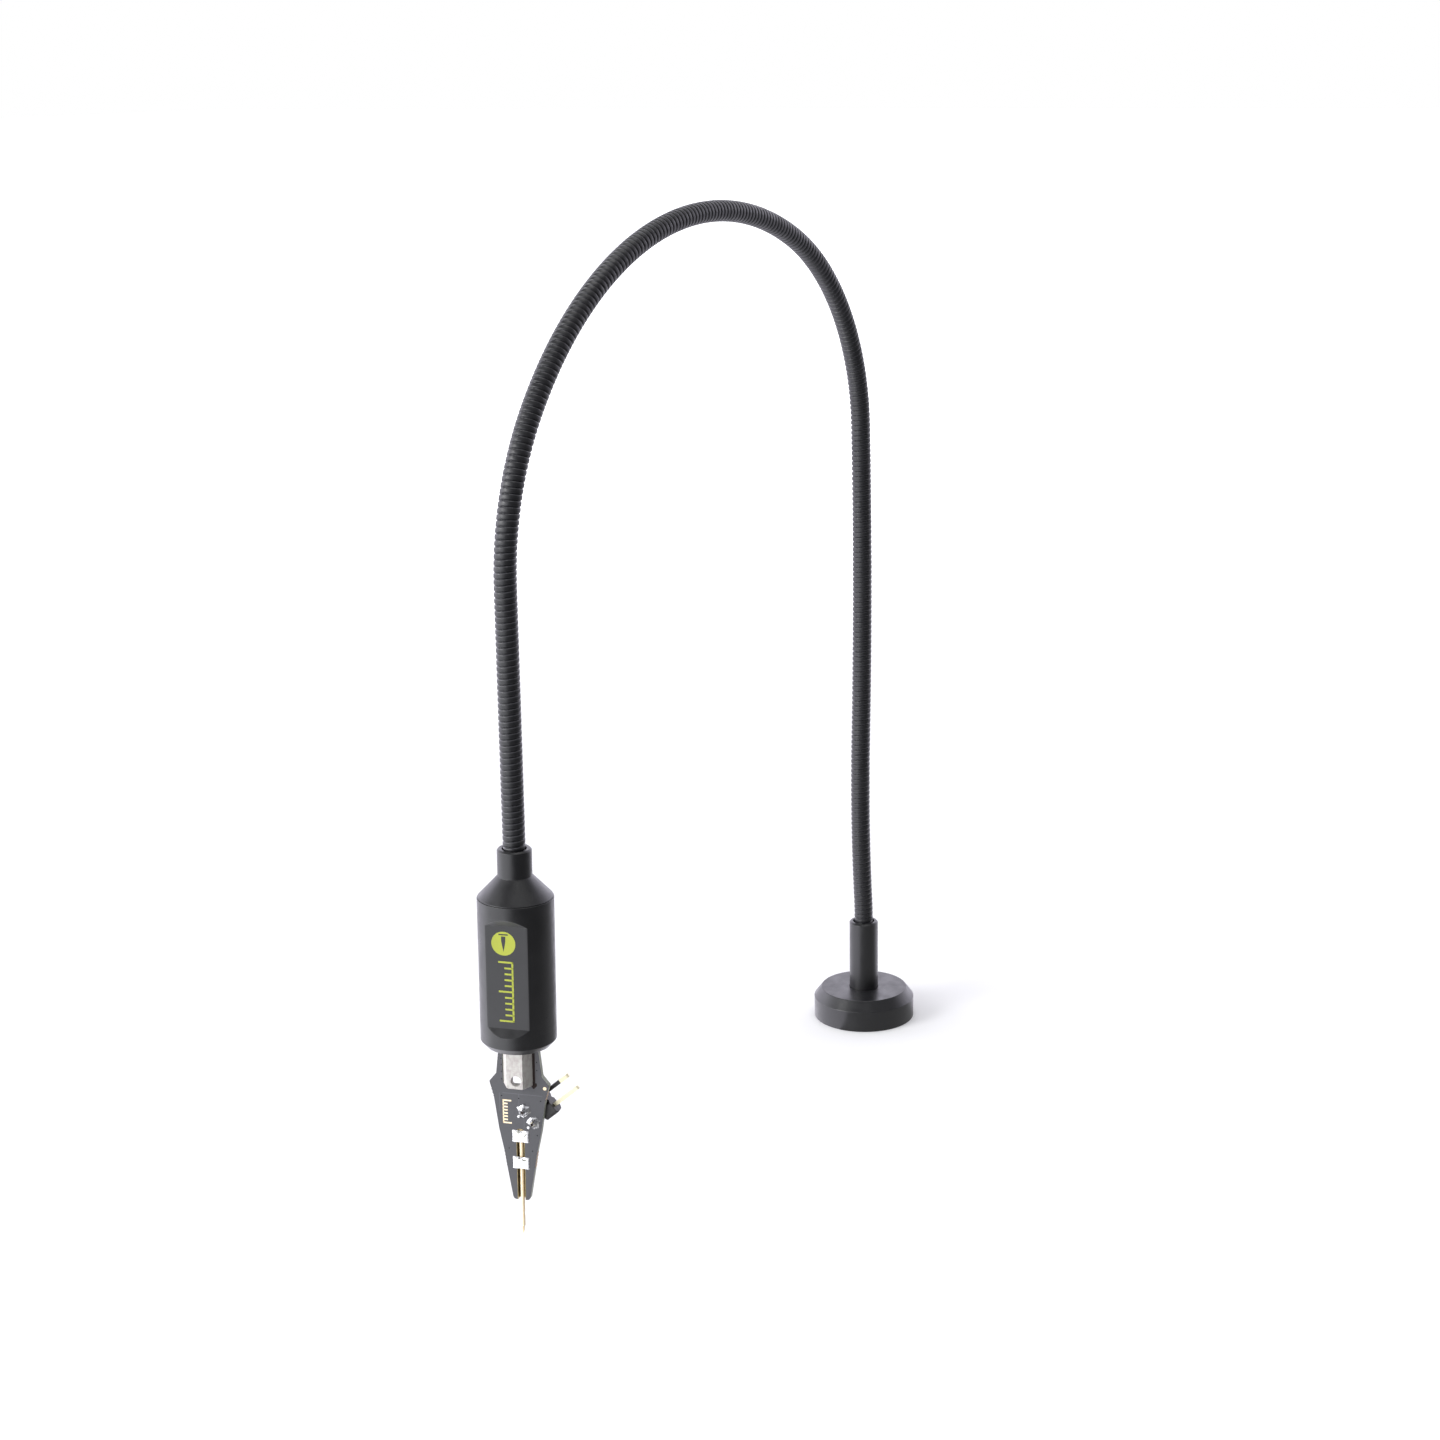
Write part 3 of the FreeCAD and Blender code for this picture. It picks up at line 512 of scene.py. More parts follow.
def wound_metal():
    """The arm's strip: black, a painted highlight on the lip above each groove, a fainter one below, painted shade
    in it.

    The piece's own map gives u round the arm and v in turns along it, so v less u, taken
    without its whole part, is nought at a groove and one at the next.
    """
    material, tree, shader, where = blank_material("arm_winding")
    coords = add(tree, "ShaderNodeUVMap", uv_map="winding")
    split = add(tree, "ShaderNodeSeparateXYZ", [(0, coords.outputs[0])])
    phase = maths(tree, "FRACT", maths(tree, "SUBTRACT", split.outputs["Y"], split.outputs["X"]))
    # Painted highlight on the lip above each groove and a fainter one on the lip below; groove marks the painted
    # shade in the groove itself.
    lip_highlight = times(tree, ramp(tree, phase, 0.03, 0.12), ramp(tree, phase, 0.12, 0.3, 1.0, 0.0))
    lower_lip_highlight = times(tree, ramp(tree, phase, 0.84, 0.92), ramp(tree, phase, 0.92, 0.99, 1.0, 0.0))
    groove = plus(tree, ramp(tree, phase, 0.0, 0.07, 1.0, 0.0), ramp(tree, phase, 0.93, 1.0))
    grain = speckled(tree, where, 7000.0, 0.8, 0.5)
    highlight_share = times(tree, plus(tree, lip_highlight, times(tree, lower_lip_highlight, 0.4)), grain["Tint"])
    body = mixed(tree, highlight_share, (0.009, 0.009, 0.0105, 1), (0.052, 0.052, 0.058, 1))
    # Painted shade: the colour falls almost to black in each groove.
    dark = mixed(tree, maths(tree, "MULTIPLY", groove, 0.9, clamp=True), body, (0.004, 0.004, 0.005, 1))
    roughness = plus(tree, maths(tree, "SUBTRACT", 0.42, times(tree, lip_highlight, 0.1)), grain["Rough"])
    surfaced(tree, shader, dark, roughness, grain["Height"], 0.2)
    return material


def plated(name, clean, dull, rough, amount=0.5, patches=900.0, bump=0.15, metal=1.0):
    """Plated metal: a clean colour, a duller one in patches, and fine streaks; the patches are tarnish, and
    painted dark reflection on the solder cones' tin.
    """
    material, tree, shader, where = blank_material(name)
    shader.inputs["Metallic"].default_value = metal
    tarnish_and_reflection = place_group(tree, TARNISH_AND_REFLECTION, [("Position", where), ("Patches", patches), ("Amount", amount)])
    colour = mixed(tree, tarnish_and_reflection["Mask"], clean + (1,), dull + (1,))
    roughness = plus(tree, rough, times(tree, tarnish_and_reflection["Mask"], 0.25))
    surfaced(tree, shader, colour, roughness, tarnish_and_reflection["Height"], bump, 0.00001)
    return material


def moulded(name, colour, rough, scale=6000.0, gloss=0.5):
    """Moulded or printed plastic with a fine grain."""
    material, tree, shader, where = blank_material(name, gloss)
    grain = speckled(tree, where, scale, 0.3, 0.25)
    surfaced(tree, shader, scaled(tree, colour, grain["Tint"]), plus(tree, grain["Rough"], rough),
             grain["Height"], 0.2)
    return material


BLACK = turned_black("turned_black")
FOOT_BLACK = turned_black("foot_black", 0.009, 0.36)
WINDING = wound_metal()
NICKEL = plated("standoff_nickel", (0.54, 0.53, 0.49), (0.42, 0.37, 0.36), 0.5, 0.8, 1300.0, metal=0.25)
MAGNET = plated("magnet_nickel", (0.62, 0.61, 0.58), (0.4, 0.38, 0.35), 0.3)
SCREW = plated("screw_steel", (0.4, 0.4, 0.42), (0.22, 0.22, 0.23), 0.35)
SPRING = plated("spring_steel", (0.5, 0.5, 0.5), (0.3, 0.3, 0.3), 0.3)
LINING = plated("lining_gold", (0.36, 0.28, 0.13), (0.16, 0.15, 0.08), 0.4, 0.8, 900.0)
NEEDLE = plated("needle_gold", (0.96, 0.80, 0.55), (0.86, 0.66, 0.40), 0.4, 0.35, 1600.0, metal=0.4)
POINT = plated("point_gold", (0.72, 0.55, 0.31), (0.55, 0.40, 0.22), 0.45, 0.4, 1600.0, metal=0.3)
PIN_GOLD = plated("pin_gold", (0.88, 0.82, 0.58), (0.80, 0.72, 0.48), 0.3, 0.4, 1600.0, metal=0.3)
TIN = plated("bright_tin", (0.96, 0.96, 0.97), (0.82, 0.82, 0.84), 0.3, 0.4, 2500.0, 0.35, metal=0.35)
# Tin on the solder cones: its near-black patches are painted dark reflection, not tarnish.
TIN_AND_PAINTED_REFLECTION = plated("tin_and_painted_reflection", (0.92, 0.92, 0.93), (0.05, 0.05, 0.055), 0.12, 1.0, 1100.0, 0.2)
DULL_TIN = plated("dull_tin", (0.42, 0.42, 0.36), (0.10, 0.10, 0.09), 0.5, 1.0, 1800.0, 0.3, metal=0.2)
HEADER = moulded("header_plastic", (0.022, 0.02, 0.02), 0.42)
BOARD = moulded("board_mask", (0.060, 0.060, 0.066), 0.45)
TRACE = moulded("board_trace", (0.085, 0.086, 0.095), 0.4)
BOARD_EDGE = moulded("board_laminate", (0.36, 0.38, 0.31), 0.6, 12000.0)
CASTELLATION = plated("notch_gold", (0.42, 0.27, 0.15), (0.16, 0.10, 0.07), 0.35, 0.6, 2500.0, metal=0.7)
VIA = moulded("via_dark", (0.006, 0.006, 0.007), 0.9, gloss=0.1)
# Near-black: painted shade in the fork's gap, and painted dark reflection and shade at the joints' pin ends.
SHADE_AND_REFLECTION = moulded("painted_shade_and_reflection", (0.016, 0.009, 0.007), 0.6, gloss=0.15)
PRINT_GOLD = plated("print_gold", (0.95, 0.80, 0.55), (0.75, 0.55, 0.3), 0.35, 0.5, 2500.0, metal=0.4)
PRINT_LIME = moulded("print_lime", (0.38, 0.42, 0.035), 0.5, 9000.0)


# The arm

def arm_runs():
    """The path's runs from the lower seat to the upper one, in (length, turn in radians)."""
    runs = [(ARM_SEAT_IN_SOCKET, 0.0)]
    runs.extend((length, np.radians(turn)) for length, turn in ARM_RUNS)
    x, z, heading = 0.0, ARM_START, 0.0
    for length, turn in runs:
        x, z, heading = run_end(x, z, heading, length, turn)
    drop = NECK_TOP * np.cos(heading) * np.cos(np.radians(HEAD_SIDE_LEAN))
    free = (z + drop) / -np.cos(heading)
    runs.append((free + ARM_SEAT_IN_NECK, 0.0))
    return runs


def run_end(x, z, heading, length, turn):
    """A run's end: along its chord, which is the length times sin(turn / 2) / (turn / 2)."""
    middle = heading + turn / 2
    chord = length * np.sinc(turn / TAU)
    return x + chord * np.sin(middle), z + chord * np.cos(middle), heading + turn


RUNS = arm_runs()
ARM_LENGTH = sum(length for length, turn in RUNS)


def arm_path(s):
    """Centre and heading at distances s: each run's start plus the chord to s, by whole arrays."""
    s = np.asarray(s, float)
    x, z, heading = 0.0, ARM_START, 0.0
    px, pz, ph = np.zeros_like(s), np.zeros_like(s), np.zeros_like(s)
    start = 0.0
    for length, turn in RUNS:
        inside = s >= start - 1e-9
        along = np.clip(s - start, 0, length)
        cx, cz, ch = run_end(x, z, heading, along, turn * along / length)
        px, pz, ph = np.where(inside, cx, px), np.where(inside, cz, pz), np.where(inside, ch, ph)
        x, z, heading = run_end(x, z, heading, length, turn)
        start += length
    return px, pz, ph


def band_radius(index):
    """The winding's radius at a sample of its turn: a crowned band that drops into a groove.

    With phase from nought to one across a turn, the crown falls by the square of twice the
    distance from the middle, and the groove is a bell curve about each end.
    """
    phase = (index % WINDING_SAMPLES) / WINDING_SAMPLES
    edge = np.minimum(phase, 1 - phase)
    crown = BAND_CROWN * (2 * phase - 1) ** 2
    groove = GROOVE_DEPTH * np.exp(-((edge / GROOVE_SHARPNESS) ** 2))
    return ARM_RADIUS - crown * 0.5 - groove


def winding_piece(name, first, last):
    """The skin of the winding between two of its sample rows.

    Row i and column j lie at distance (i + f) * pitch / samples along the path, where f is the
    broken part of j * samples / segments, so that every point falls on a whole sample of the
    band, number i less the whole part of j * samples / segments.
    """
    i = np.arange(first, last + 1)[:, None]
    j = np.arange(WINDING_SEGMENTS)[None, :]
    slip = j * WINDING_SAMPLES / WINDING_SEGMENTS
    s = (i + slip % 1) * WINDING_PITCH / WINDING_SAMPLES
    radius = band_radius(i - np.floor(slip).astype(int))
    x, z, heading = arm_path(s)
    angle = TAU * j / WINDING_SEGMENTS
    out = radius * np.cos(angle)
    aside = radius * np.sin(angle) + 0 * x
    grid = np.stack([x + out * np.cos(heading), aside, z - out * np.sin(heading)], -1)
    rows, columns = grid.shape[:2]
    quads = tube_indices(rows, columns)
    a, b = np.meshgrid(np.arange(rows - 1), np.arange(columns), indexing="ij")
    turns = s / WINDING_PITCH
    ring = np.stack([a, a, a + 1, a + 1], -1).reshape(-1, 4)
    column = np.stack([b, b + 1, b + 1, b], -1).reshape(-1, 4)
    uv_quads = np.stack([column / columns, turns[ring, column % columns]], -1)
    cap_points, fans = end_caps(grid)
    points = np.concatenate([grid.reshape(-1, 3), cap_points])
    return mesh_object(name, points, quads, fans, (uv_quads, np.zeros((len(fans), 3, 2))))


def build_arm():
    """One piece to each bending point, from halfway down one section to halfway up the next.
    """
    joints = sorted(j["name"] for j in frame["joints"] if j["name"].startswith("arm_bend"))
    count = len(joints)
    first = ARM_SEAT_IN_SOCKET + JOINT_FROM_MOUTH
    last = ARM_LENGTH - ARM_SEAT_IN_NECK - JOINT_FROM_MOUTH
    stations = np.linspace(first, last, count)
    middles = (stations[:-1] + stations[1:]) / 2
    step = WINDING_PITCH / WINDING_SAMPLES
    rows = np.concatenate([[0], np.round(middles / step), [np.floor(ARM_LENGTH / step) - 1]]).astype(int)
    for k, joint in enumerate(joints):
        piece = winding_piece("arm_winding_%02d" % (k + 1), rows[k], rows[k + 1])
        piece.data.materials.append(WINDING)
        start = ARM_SEAT_IN_SOCKET if k == 0 else rows[k] * step
        end = ARM_LENGTH - ARM_SEAT_IN_NECK if k == count - 1 else rows[k + 1] * step
        if k == 0:
            end = 2 * first - start
        if k == count - 1:
            start = 2 * last - end
        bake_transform(piece)
        nodes = ["arm_section_%02d" % (k + 1)]
        if k == count - 1:
            nodes.append("arm_section_%02d" % (k + 2))
        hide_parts(*nodes)


# The foot

FOOT_RADIUS = 10.0
FOOT_HEIGHT = 6.0
FOOT_SIDE_HEIGHT = 4.1
FOOT_BEVEL_WIDTH = 1.5
MAGNET_POCKET_RADIUS = 8.05
MAGNET_THICKNESS = 3.0
SOCKET_RADIUS = 2.85
SOCKET_BOTTOM = FOOT_HEIGHT - 0.8
SOCKET_BORE = ARM_RADIUS + 0.3
SOCKET_EDGE = 0.3


def build_foot():
    """The turned foot with its magnet pocket, and the post with the arm's bore."""
    shape = [
        (0, MAGNET_THICKNESS), (MAGNET_POCKET_RADIUS, MAGNET_THICKNESS), (MAGNET_POCKET_RADIUS, 0),
        (FOOT_RADIUS, 0), (FOOT_RADIUS, FOOT_SIDE_HEIGHT), (FOOT_RADIUS - FOOT_BEVEL_WIDTH, FOOT_HEIGHT),
        (SOCKET_RADIUS, FOOT_HEIGHT), (SOCKET_RADIUS, SOCKET_BOTTOM), (0, SOCKET_BOTTOM),
    ]
    foot = turned("foot", eased(shape, 0.14), 128)
    finish_piece(foot, FOOT_BLACK, "foot", "turned_black", "foot_housing")
    shape = [
        (0, SOCKET_BOTTOM), (SOCKET_RADIUS, SOCKET_BOTTOM),
        (SOCKET_RADIUS, SOCKET_TOP - SOCKET_EDGE), (SOCKET_RADIUS - SOCKET_EDGE, SOCKET_TOP),
        (SOCKET_BORE, SOCKET_TOP), (SOCKET_BORE, ARM_START), (0, ARM_START),
    ]
    socket = turned("socket", eased(shape, 0.08), 72)
    finish_piece(socket, BLACK, "foot", "turned_black", "stem_socket")


# The head

NECK_RADIUS = 2.8
NECK_LENGTH = 4.5
NECK_EDGE = 0.25
NECK_BORE = ARM_RADIUS + 0.15
NECK_FLOOR = NECK_TOP - ARM_SEAT_IN_NECK - 0.1
BARREL_RADIUS = 6.2
BARREL_TOP = 59.4
BARREL_END = 34.25
BARREL_BEVEL_WIDTH = 0.9
BARREL_BEVEL_HEIGHT = 1.05
SPIGOT_RADIUS = 3.98
SPIGOT_END = BARREL_TOP - 5.0
FLAT_FROM_AXIS = 5.1
FLAT_LOW = 38.65
FLAT_HIGH = 55.95
FLAT_RAMP = 1.4
FRONT_ANGLE = -np.pi / 2


def barrel_rows():
    """Heights and free radius of the barrel's outside, from its end face to the parting line."""
    shape = eased([
        (0, BARREL_END), (BARREL_RADIUS - BARREL_BEVEL_WIDTH, BARREL_END),
        (BARREL_RADIUS, BARREL_END + BARREL_BEVEL_HEIGHT), (BARREL_RADIUS, BARREL_TOP), (0, BARREL_TOP),
    ], 0.1)
    side = shape[:, 0] > BARREL_RADIUS - 1e-6
    below = shape[1:np.argmax(side) + 1]
    above = shape[len(shape) - np.argmax(side[::-1]) - 1:-1]
    edges = [FLAT_LOW - FLAT_RAMP, FLAT_LOW, FLAT_HIGH, FLAT_HIGH + FLAT_RAMP]
    ramp_low = np.linspace(edges[0] - 0.05, edges[1], 16)
    ramp_high = np.linspace(edges[2], edges[3] + 0.05, 16)
    middle = np.linspace(edges[1], edges[2], 12)[1:-1]
    z = np.concatenate([ramp_low, middle, ramp_high])
    straight = np.stack([np.full(len(z), BARREL_RADIUS), z], -1)
    return np.concatenate([below, straight, above])


def build_barrel():
    """The weight: a turned body whose front is cut back by a flat with a ramp at each end.

    The flat's distance from the axis grows along each ramp until it leaves the round. At each
    height a share of the columns is spread over the angle that the flat takes, whose half is
    the angle with cosine distance over radius, and the point there lies on the flat, at the
    distance divided by the cosine of the angle from the front.
    """
    rows = barrel_rows()
    r, z = rows[:, 0], rows[:, 1]
    slope = (BARREL_RADIUS - FLAT_FROM_AXIS) / FLAT_RAMP
    outside = np.maximum(np.maximum(FLAT_LOW - z, z - FLAT_HIGH), 0)
    distance = FLAT_FROM_AXIS + outside * slope
    half = np.maximum(np.arccos(np.clip(distance / BARREL_RADIUS, -1, 1)), np.radians(3.0))
    across = np.linspace(-1, 1, 25)
    rest = np.linspace(0, 1, 97)[1:-1]
    flat_angle = half[:, None] * across[None, :]
    round_angle = half[:, None] + (TAU - 2 * half[:, None]) * rest[None, :]
    angle = np.concatenate([flat_angle, round_angle], 1)
    cut = np.concatenate([distance[:, None] / np.cos(flat_angle), np.full(round_angle.shape, np.inf)], 1)
    radius = np.minimum(r[:, None], cut)
    heights = np.repeat(z[:, None], angle.shape[1], 1)
    facing = angle + FRONT_ANGLE
    grid = np.stack([radius * np.cos(facing), radius * np.sin(facing), heights], -1)
    barrel = joined("barrel", [shell(grid)], in_head)
    softened(barrel, 0.09, 22, 3)
    finish_piece(barrel, BLACK, "head", "turned_black", "weight_barrel")


def build_cap():
    """The cap: neck with its bore, cone, and the spigot inside the barrel."""
    shape = [
        (0, SPIGOT_END), (SPIGOT_RADIUS, SPIGOT_END), (SPIGOT_RADIUS, BARREL_TOP),
        (BARREL_RADIUS, BARREL_TOP), (NECK_RADIUS, NECK_TOP - NECK_LENGTH),
        (NECK_RADIUS, NECK_TOP - NECK_EDGE), (NECK_RADIUS - NECK_EDGE, NECK_TOP),
        (NECK_BORE, NECK_TOP), (NECK_BORE, NECK_FLOOR), (0, NECK_FLOOR),
    ]
    cap = turned("cap", eased(shape, 0.09), 128, in_head)
    finish_piece(cap, BLACK, "head", "turned_black", "neck_cap")


# The board, in the head's frame; its side is given as heights and half widths

BOARD_FRONT = -0.5
BOARD_BACK = 0.5
BOARD_SIDE = ((6.55, 1.4), (12.2, 2.36), (14.9, 2.76), (18.9, 3.6), (24.6, 4.4), (27.25, 5.12))
NOTCH_ROWS = ((24.7, 3), (12.6, 5))
NOTCH_PITCH = 0.6
NOTCH_REACH = 0.26
NOTCH_INSET = 0.15
NOTCH_PLATING_RADIUS = 0.21
NOTCH_FILL_RADIUS = 0.205
NOTCH_FILL_DEPTH = 0.07
FORK_WALL = 2.768
FORK_FLOOR = 26.85

# What lies on the board's face: how far each kind stands proud, and how deep all are sunk
PRINT_FRONT = BOARD_FRONT - 0.012
TRACE_FRONT = BOARD_FRONT - 0.004
SUNK = BOARD_FRONT + 0.05
VIA_RADIUS = 0.1
VIAS = (
    (-3.0, 31.4), (-2.98, 30.3), (-2.98, 29.1), (-2.98, 27.8), (3.08, 31.25), (3.08, 29.84),
    (-3.06, 24.83), (-0.14, 24.61), (3.62, 24.47), (2.91, 18.32), (-1.98, 15.61), (2.03, 15.44),
)
TRACES = (
    (-2.9, 3.9, 25.3, 25.44), (0.62, 0.76, 19.5, 21.2), (-3.5, -3.36, 22.0, 25.3),
    (-0.2, -0.06, 23.3, 25.3),
)
EAR_DOT = (4.36, 26.75, 0.3)
# Outline of the lump of painted shade at the fork's corner
SHADE_LUMP = ((2.2, -0.12), (2.5, -0.35), (3.05, 0.25), (3.0, 0.7), (2.7, 0.7))


def notch_places():
    """Each notch's height and the board's half width there."""
    heights, widths = np.array(BOARD_SIDE).T
    for low, number in NOTCH_ROWS:
        for k in range(number):
            z = low + k * NOTCH_PITCH
            yield z, np.interp(z, heights, widths)


def build_board():
    """The board: black mask on its faces, bare laminate on its edges, gold in the edge notches."""
    board = edged_copy("probe_board", "board", 0.0, smooth=False)
    mesh = board.data
    count = len(mesh.polygons)
    centres = np.zeros(count * 3)
    normals = np.zeros(count * 3)
    mesh.polygons.foreach_get("center", centres)
    mesh.polygons.foreach_get("normal", normals)
    centres = to_head(centres.reshape(-1, 3) / MM)
    across = np.abs((normals.reshape(-1, 3) @ HEAD_ROTATION)[:, 1])
    kinds = np.where(across < 0.5, 1, 0)
    for z, edge in notch_places():
        away = np.hypot(np.abs(centres[:, 0]) - edge, centres[:, 2] - z)
        kinds = np.where((kinds == 1) & (away < NOTCH_REACH), 2, kinds)
    finish_piece(board, BOARD, "head", "board_mask", "probe_board")
    mesh.materials.append(BOARD_EDGE)
    mesh.materials.append(PRINT_GOLD)
    mesh.polygons.foreach_set("material_index", kinds.astype(np.int32))


def scale_bars(edge, way, spine, rungs, half, front, back):
    """A printed scale: an upright spine (width, low, high) along an edge, and rungs (height, reach).

    Spine and rungs run from the edge to the side that way is positive or negative for.
    """
    def block(reach, low, high):
        ends = sorted((edge, edge + way * reach))
        return bar(ends[0], ends[1], low, high, front, back)

    return [block(*spine)] + [block(reach, z - half, z + half) for z, reach in rungs]


def build_board_face():
    """Tented vias, faint buried traces, and a plain gold scale and dot."""
    vias = [disc(x, z, VIA_RADIUS, PRINT_FRONT, SUNK, 12) for x, z in VIAS]
    head_piece("board_vias", vias, VIA, "board_mask")
    traces = [bar(*ends, TRACE_FRONT, SUNK) for ends in TRACES]
    head_piece("board_traces", traces, TRACE, "board_mask")
    rungs = [(20.13 + k * 0.563, 1.5 if k % 7 == 0 else 0.85) for k in range(8)]
    marks = scale_bars(-2.92, 1, (0.2, 20.0, 24.2), rungs, 0.13, PRINT_FRONT, SUNK)
    marks.append(disc(*EAR_DOT, PRINT_FRONT, SUNK))
    head_piece("board_marks", marks, PRINT_GOLD, "gold_plate")


def build_notches():
    """Gold on the notches' walls, and the mask that closes them flush with the board's face."""
    plating = []
    fills = []
    meeting = BOARD_FRONT + NOTCH_FILL_DEPTH
    for z, edge in notch_places():
        for x in (NOTCH_INSET - edge, edge - NOTCH_INSET):
            plating.append(disc(x, z, NOTCH_PLATING_RADIUS, meeting, BOARD_BACK + 0.01, 16))
            fills.append(disc(x, z, NOTCH_FILL_RADIUS, BOARD_FRONT - 0.002, meeting + 0.01, 16))
    head_piece("notch_plating", plating, CASTELLATION, "gold_plate")
    head_piece("notch_fills", fills, BOARD, "board_mask")


def build_fork_shade():
    """Painted shade down the gap at the standoff's right, and a lump of painted shade at its foot."""
    front, back = BOARD_FRONT + 0.02, BOARD_BACK - 0.02
    shade_pieces = [
        bar(STANDOFF_CORNER - 0.6, FORK_WALL, FORK_FLOOR + 0.1, BARREL_END - 0.12, front, back),
        bar(2.0, 2.75, FORK_FLOOR - 0.04, FORK_FLOOR + 0.6, front, back),
        slab(np.array(SHADE_LUMP) + (0, FORK_FLOOR), BOARD_FRONT - 0.015, SUNK),
    ]
    head_piece("fork_shade", shade_pieces, SHADE_AND_REFLECTION, "board_mask")


# The needle's solder pads: each one's lower edge and the dip in its upper edge, and dull
# smudges on it as (x, distance below the upper edge, radius)

PADS = {"solder_pad_upper": (16.84, 0.16), "solder_pad_lower": (12.12, 0.2)}
PAD_HEIGHT = 2.1
PAD_HALF_WIDTH = 1.42
PAD_PROUD = 0.22
PAD_RIM = 0.03
FILL_HALF_WIDTH = 0.62
FILL_BACK = 0.42
FILL_INSET = 0.12
SMUDGE_FRONT = BOARD_FRONT - 0.255
SMUDGE_BACK = BOARD_FRONT - 0.2
SMUDGES = {
    "solder_pad_upper": (
        (-0.36, 0.20, 0.19), (-0.22, 0.40, 0.13), (-0.02, 0.24, 0.08), (0.30, 0.22, 0.07),
        (0.70, 0.98, 0.05), (0.78, 0.87, 0.08), (0.87, 0.75, 0.09), (0.96, 0.62, 0.09), (1.04, 0.51, 0.06),
    ),
    "solder_pad_lower": (
        (0.28, 0.34, 0.09), (0.42, 0.45, 0.15), (0.60, 0.50, 0.17), (0.78, 0.43, 0.13),
        (0.92, 0.34, 0.08), (-0.30, 0.16, 0.11), (-0.18, 0.26, 0.08),
    ),
}


def pad_shells(bottom, notch):
    """Solder over the slot: a low cushion with wavy edges that draw in a little between its corners.

    With s and t from -1 to 1 across and up, the half width is 0.95 + 0.05 t squared of its size
    and the half height 0.95 + 0.05 s squared, each with a small sine along the edge; the top edge
    dips by the notch about the needle. The face stands proud by the root of (1 - s to the 8th)
    (1 - t to the 8th), with a ripple.
    """
    s = np.linspace(-1, 1, 37)[None, :]
    t = np.linspace(-1, 1, 29)[:, None]
    half = PAD_HEIGHT / 2
    x = PAD_HALF_WIDTH * s * (0.95 + 0.05 * t ** 2) + 0.03 + 0.03 * np.sin(11 * t) * s
    dip = notch * np.exp(-(((s + 0.02) / 0.36) ** 4)) * np.clip(t, 0, 1)
    z = bottom + half + half * t * (0.95 + 0.05 * s ** 2) - dip + 0.05 * np.sin(9 * s + 2 * t)
    cushion = np.sqrt(np.clip((1 - s ** 8) * (1 - t ** 8), 0, 1))
    ripple = 0.25 * np.sin(5.1 * s + 1.3) * np.cos(3.7 * t - 0.6) + 0.18 * np.sin(9.0 * s - 6.0 * t)
    rise = PAD_RIM + PAD_PROUD * cushion * (0.82 + 0.25 * ripple)
    face = np.stack([x, BOARD_FRONT - rise, z + 0 * x], -1)
    back = np.stack([x, BOARD_FRONT + 0.02 + 0 * x, z + 0 * x], -1)
    cover = shell(np.concatenate([face, back[:, ::-1]], 1))
    low, high = bottom + FILL_INSET, bottom + PAD_HEIGHT - notch - FILL_INSET
    return [cover, bar(-FILL_HALF_WIDTH, FILL_HALF_WIDTH, low, high, BOARD_FRONT, FILL_BACK)]


def build_pads():
    """The two pads that hold the needle's sleeve, each with dull smudges."""
    for node, (bottom, notch) in PADS.items():
        head_piece(node + "_cover", pad_shells(bottom, notch), TIN, "solder", node)
        top = bottom + PAD_HEIGHT
        smudges = [
            disc(x, top - down, radius, SMUDGE_FRONT, SMUDGE_BACK, 14) for x, down, radius in SMUDGES[node]
        ]
        head_piece(node + "_smudges", smudges, DULL_TIN, "solder")


# The header's solder joints, at the pins, with the places of their beads

PIN_PLACES = {"header_joint_upper": (0.667, 22.458), "header_joint_lower": (2.333, 20.542)}
JOINT_SIDES = 9
JOINT_RADIUS = 1.12
JOINT_TIP_RADIUS = 0.27
JOINT_HEIGHT = 0.84
JOINT_BARREL_RADIUS = 0.53
JOINT_UNEVENNESS = 0.17
BEADS = {"header_joint_upper": ((0.66, 23.42), (-0.13, 21.47)), "header_joint_lower": ((1.49, 19.65),)}
BEAD_RADIUS = 0.25
BEAD_RISE = 0.14


def joint_cone(x, z, turn):
    """A solder cone round one pin, set in broad facets as solder freezes.

    The radius falls from the foot to the tip by the square of the height still to go, and each
    of its sides is drawn in or out by the sine of a few times its number.
    """
    side = np.arange(JOINT_SIDES)
    angle = TAU * side / JOINT_SIDES + turn + 0.16 * np.sin(5 * side + turn)
    share = np.array([0.0, 0.0, 0.22, 0.62, 1.0])
    radius = JOINT_TIP_RADIUS + (JOINT_RADIUS - JOINT_TIP_RADIUS) * (1 - share) ** 2
    radius[0] = JOINT_BARREL_RADIUS
    y = BOARD_FRONT + 0.01 - JOINT_HEIGHT * share
    y[0] = BOARD_BACK - 0.01
    drawn = 1 + JOINT_UNEVENNESS * np.sin(4 * side + 3 * turn)[None, :] * (1 - share)[:, None]
    drawn[0] = 1.0
    ring = radius[:, None] * drawn
    return shell(np.stack([x + ring * np.cos(angle), y[:, None] + 0 * ring, z + ring * np.sin(angle)], -1))


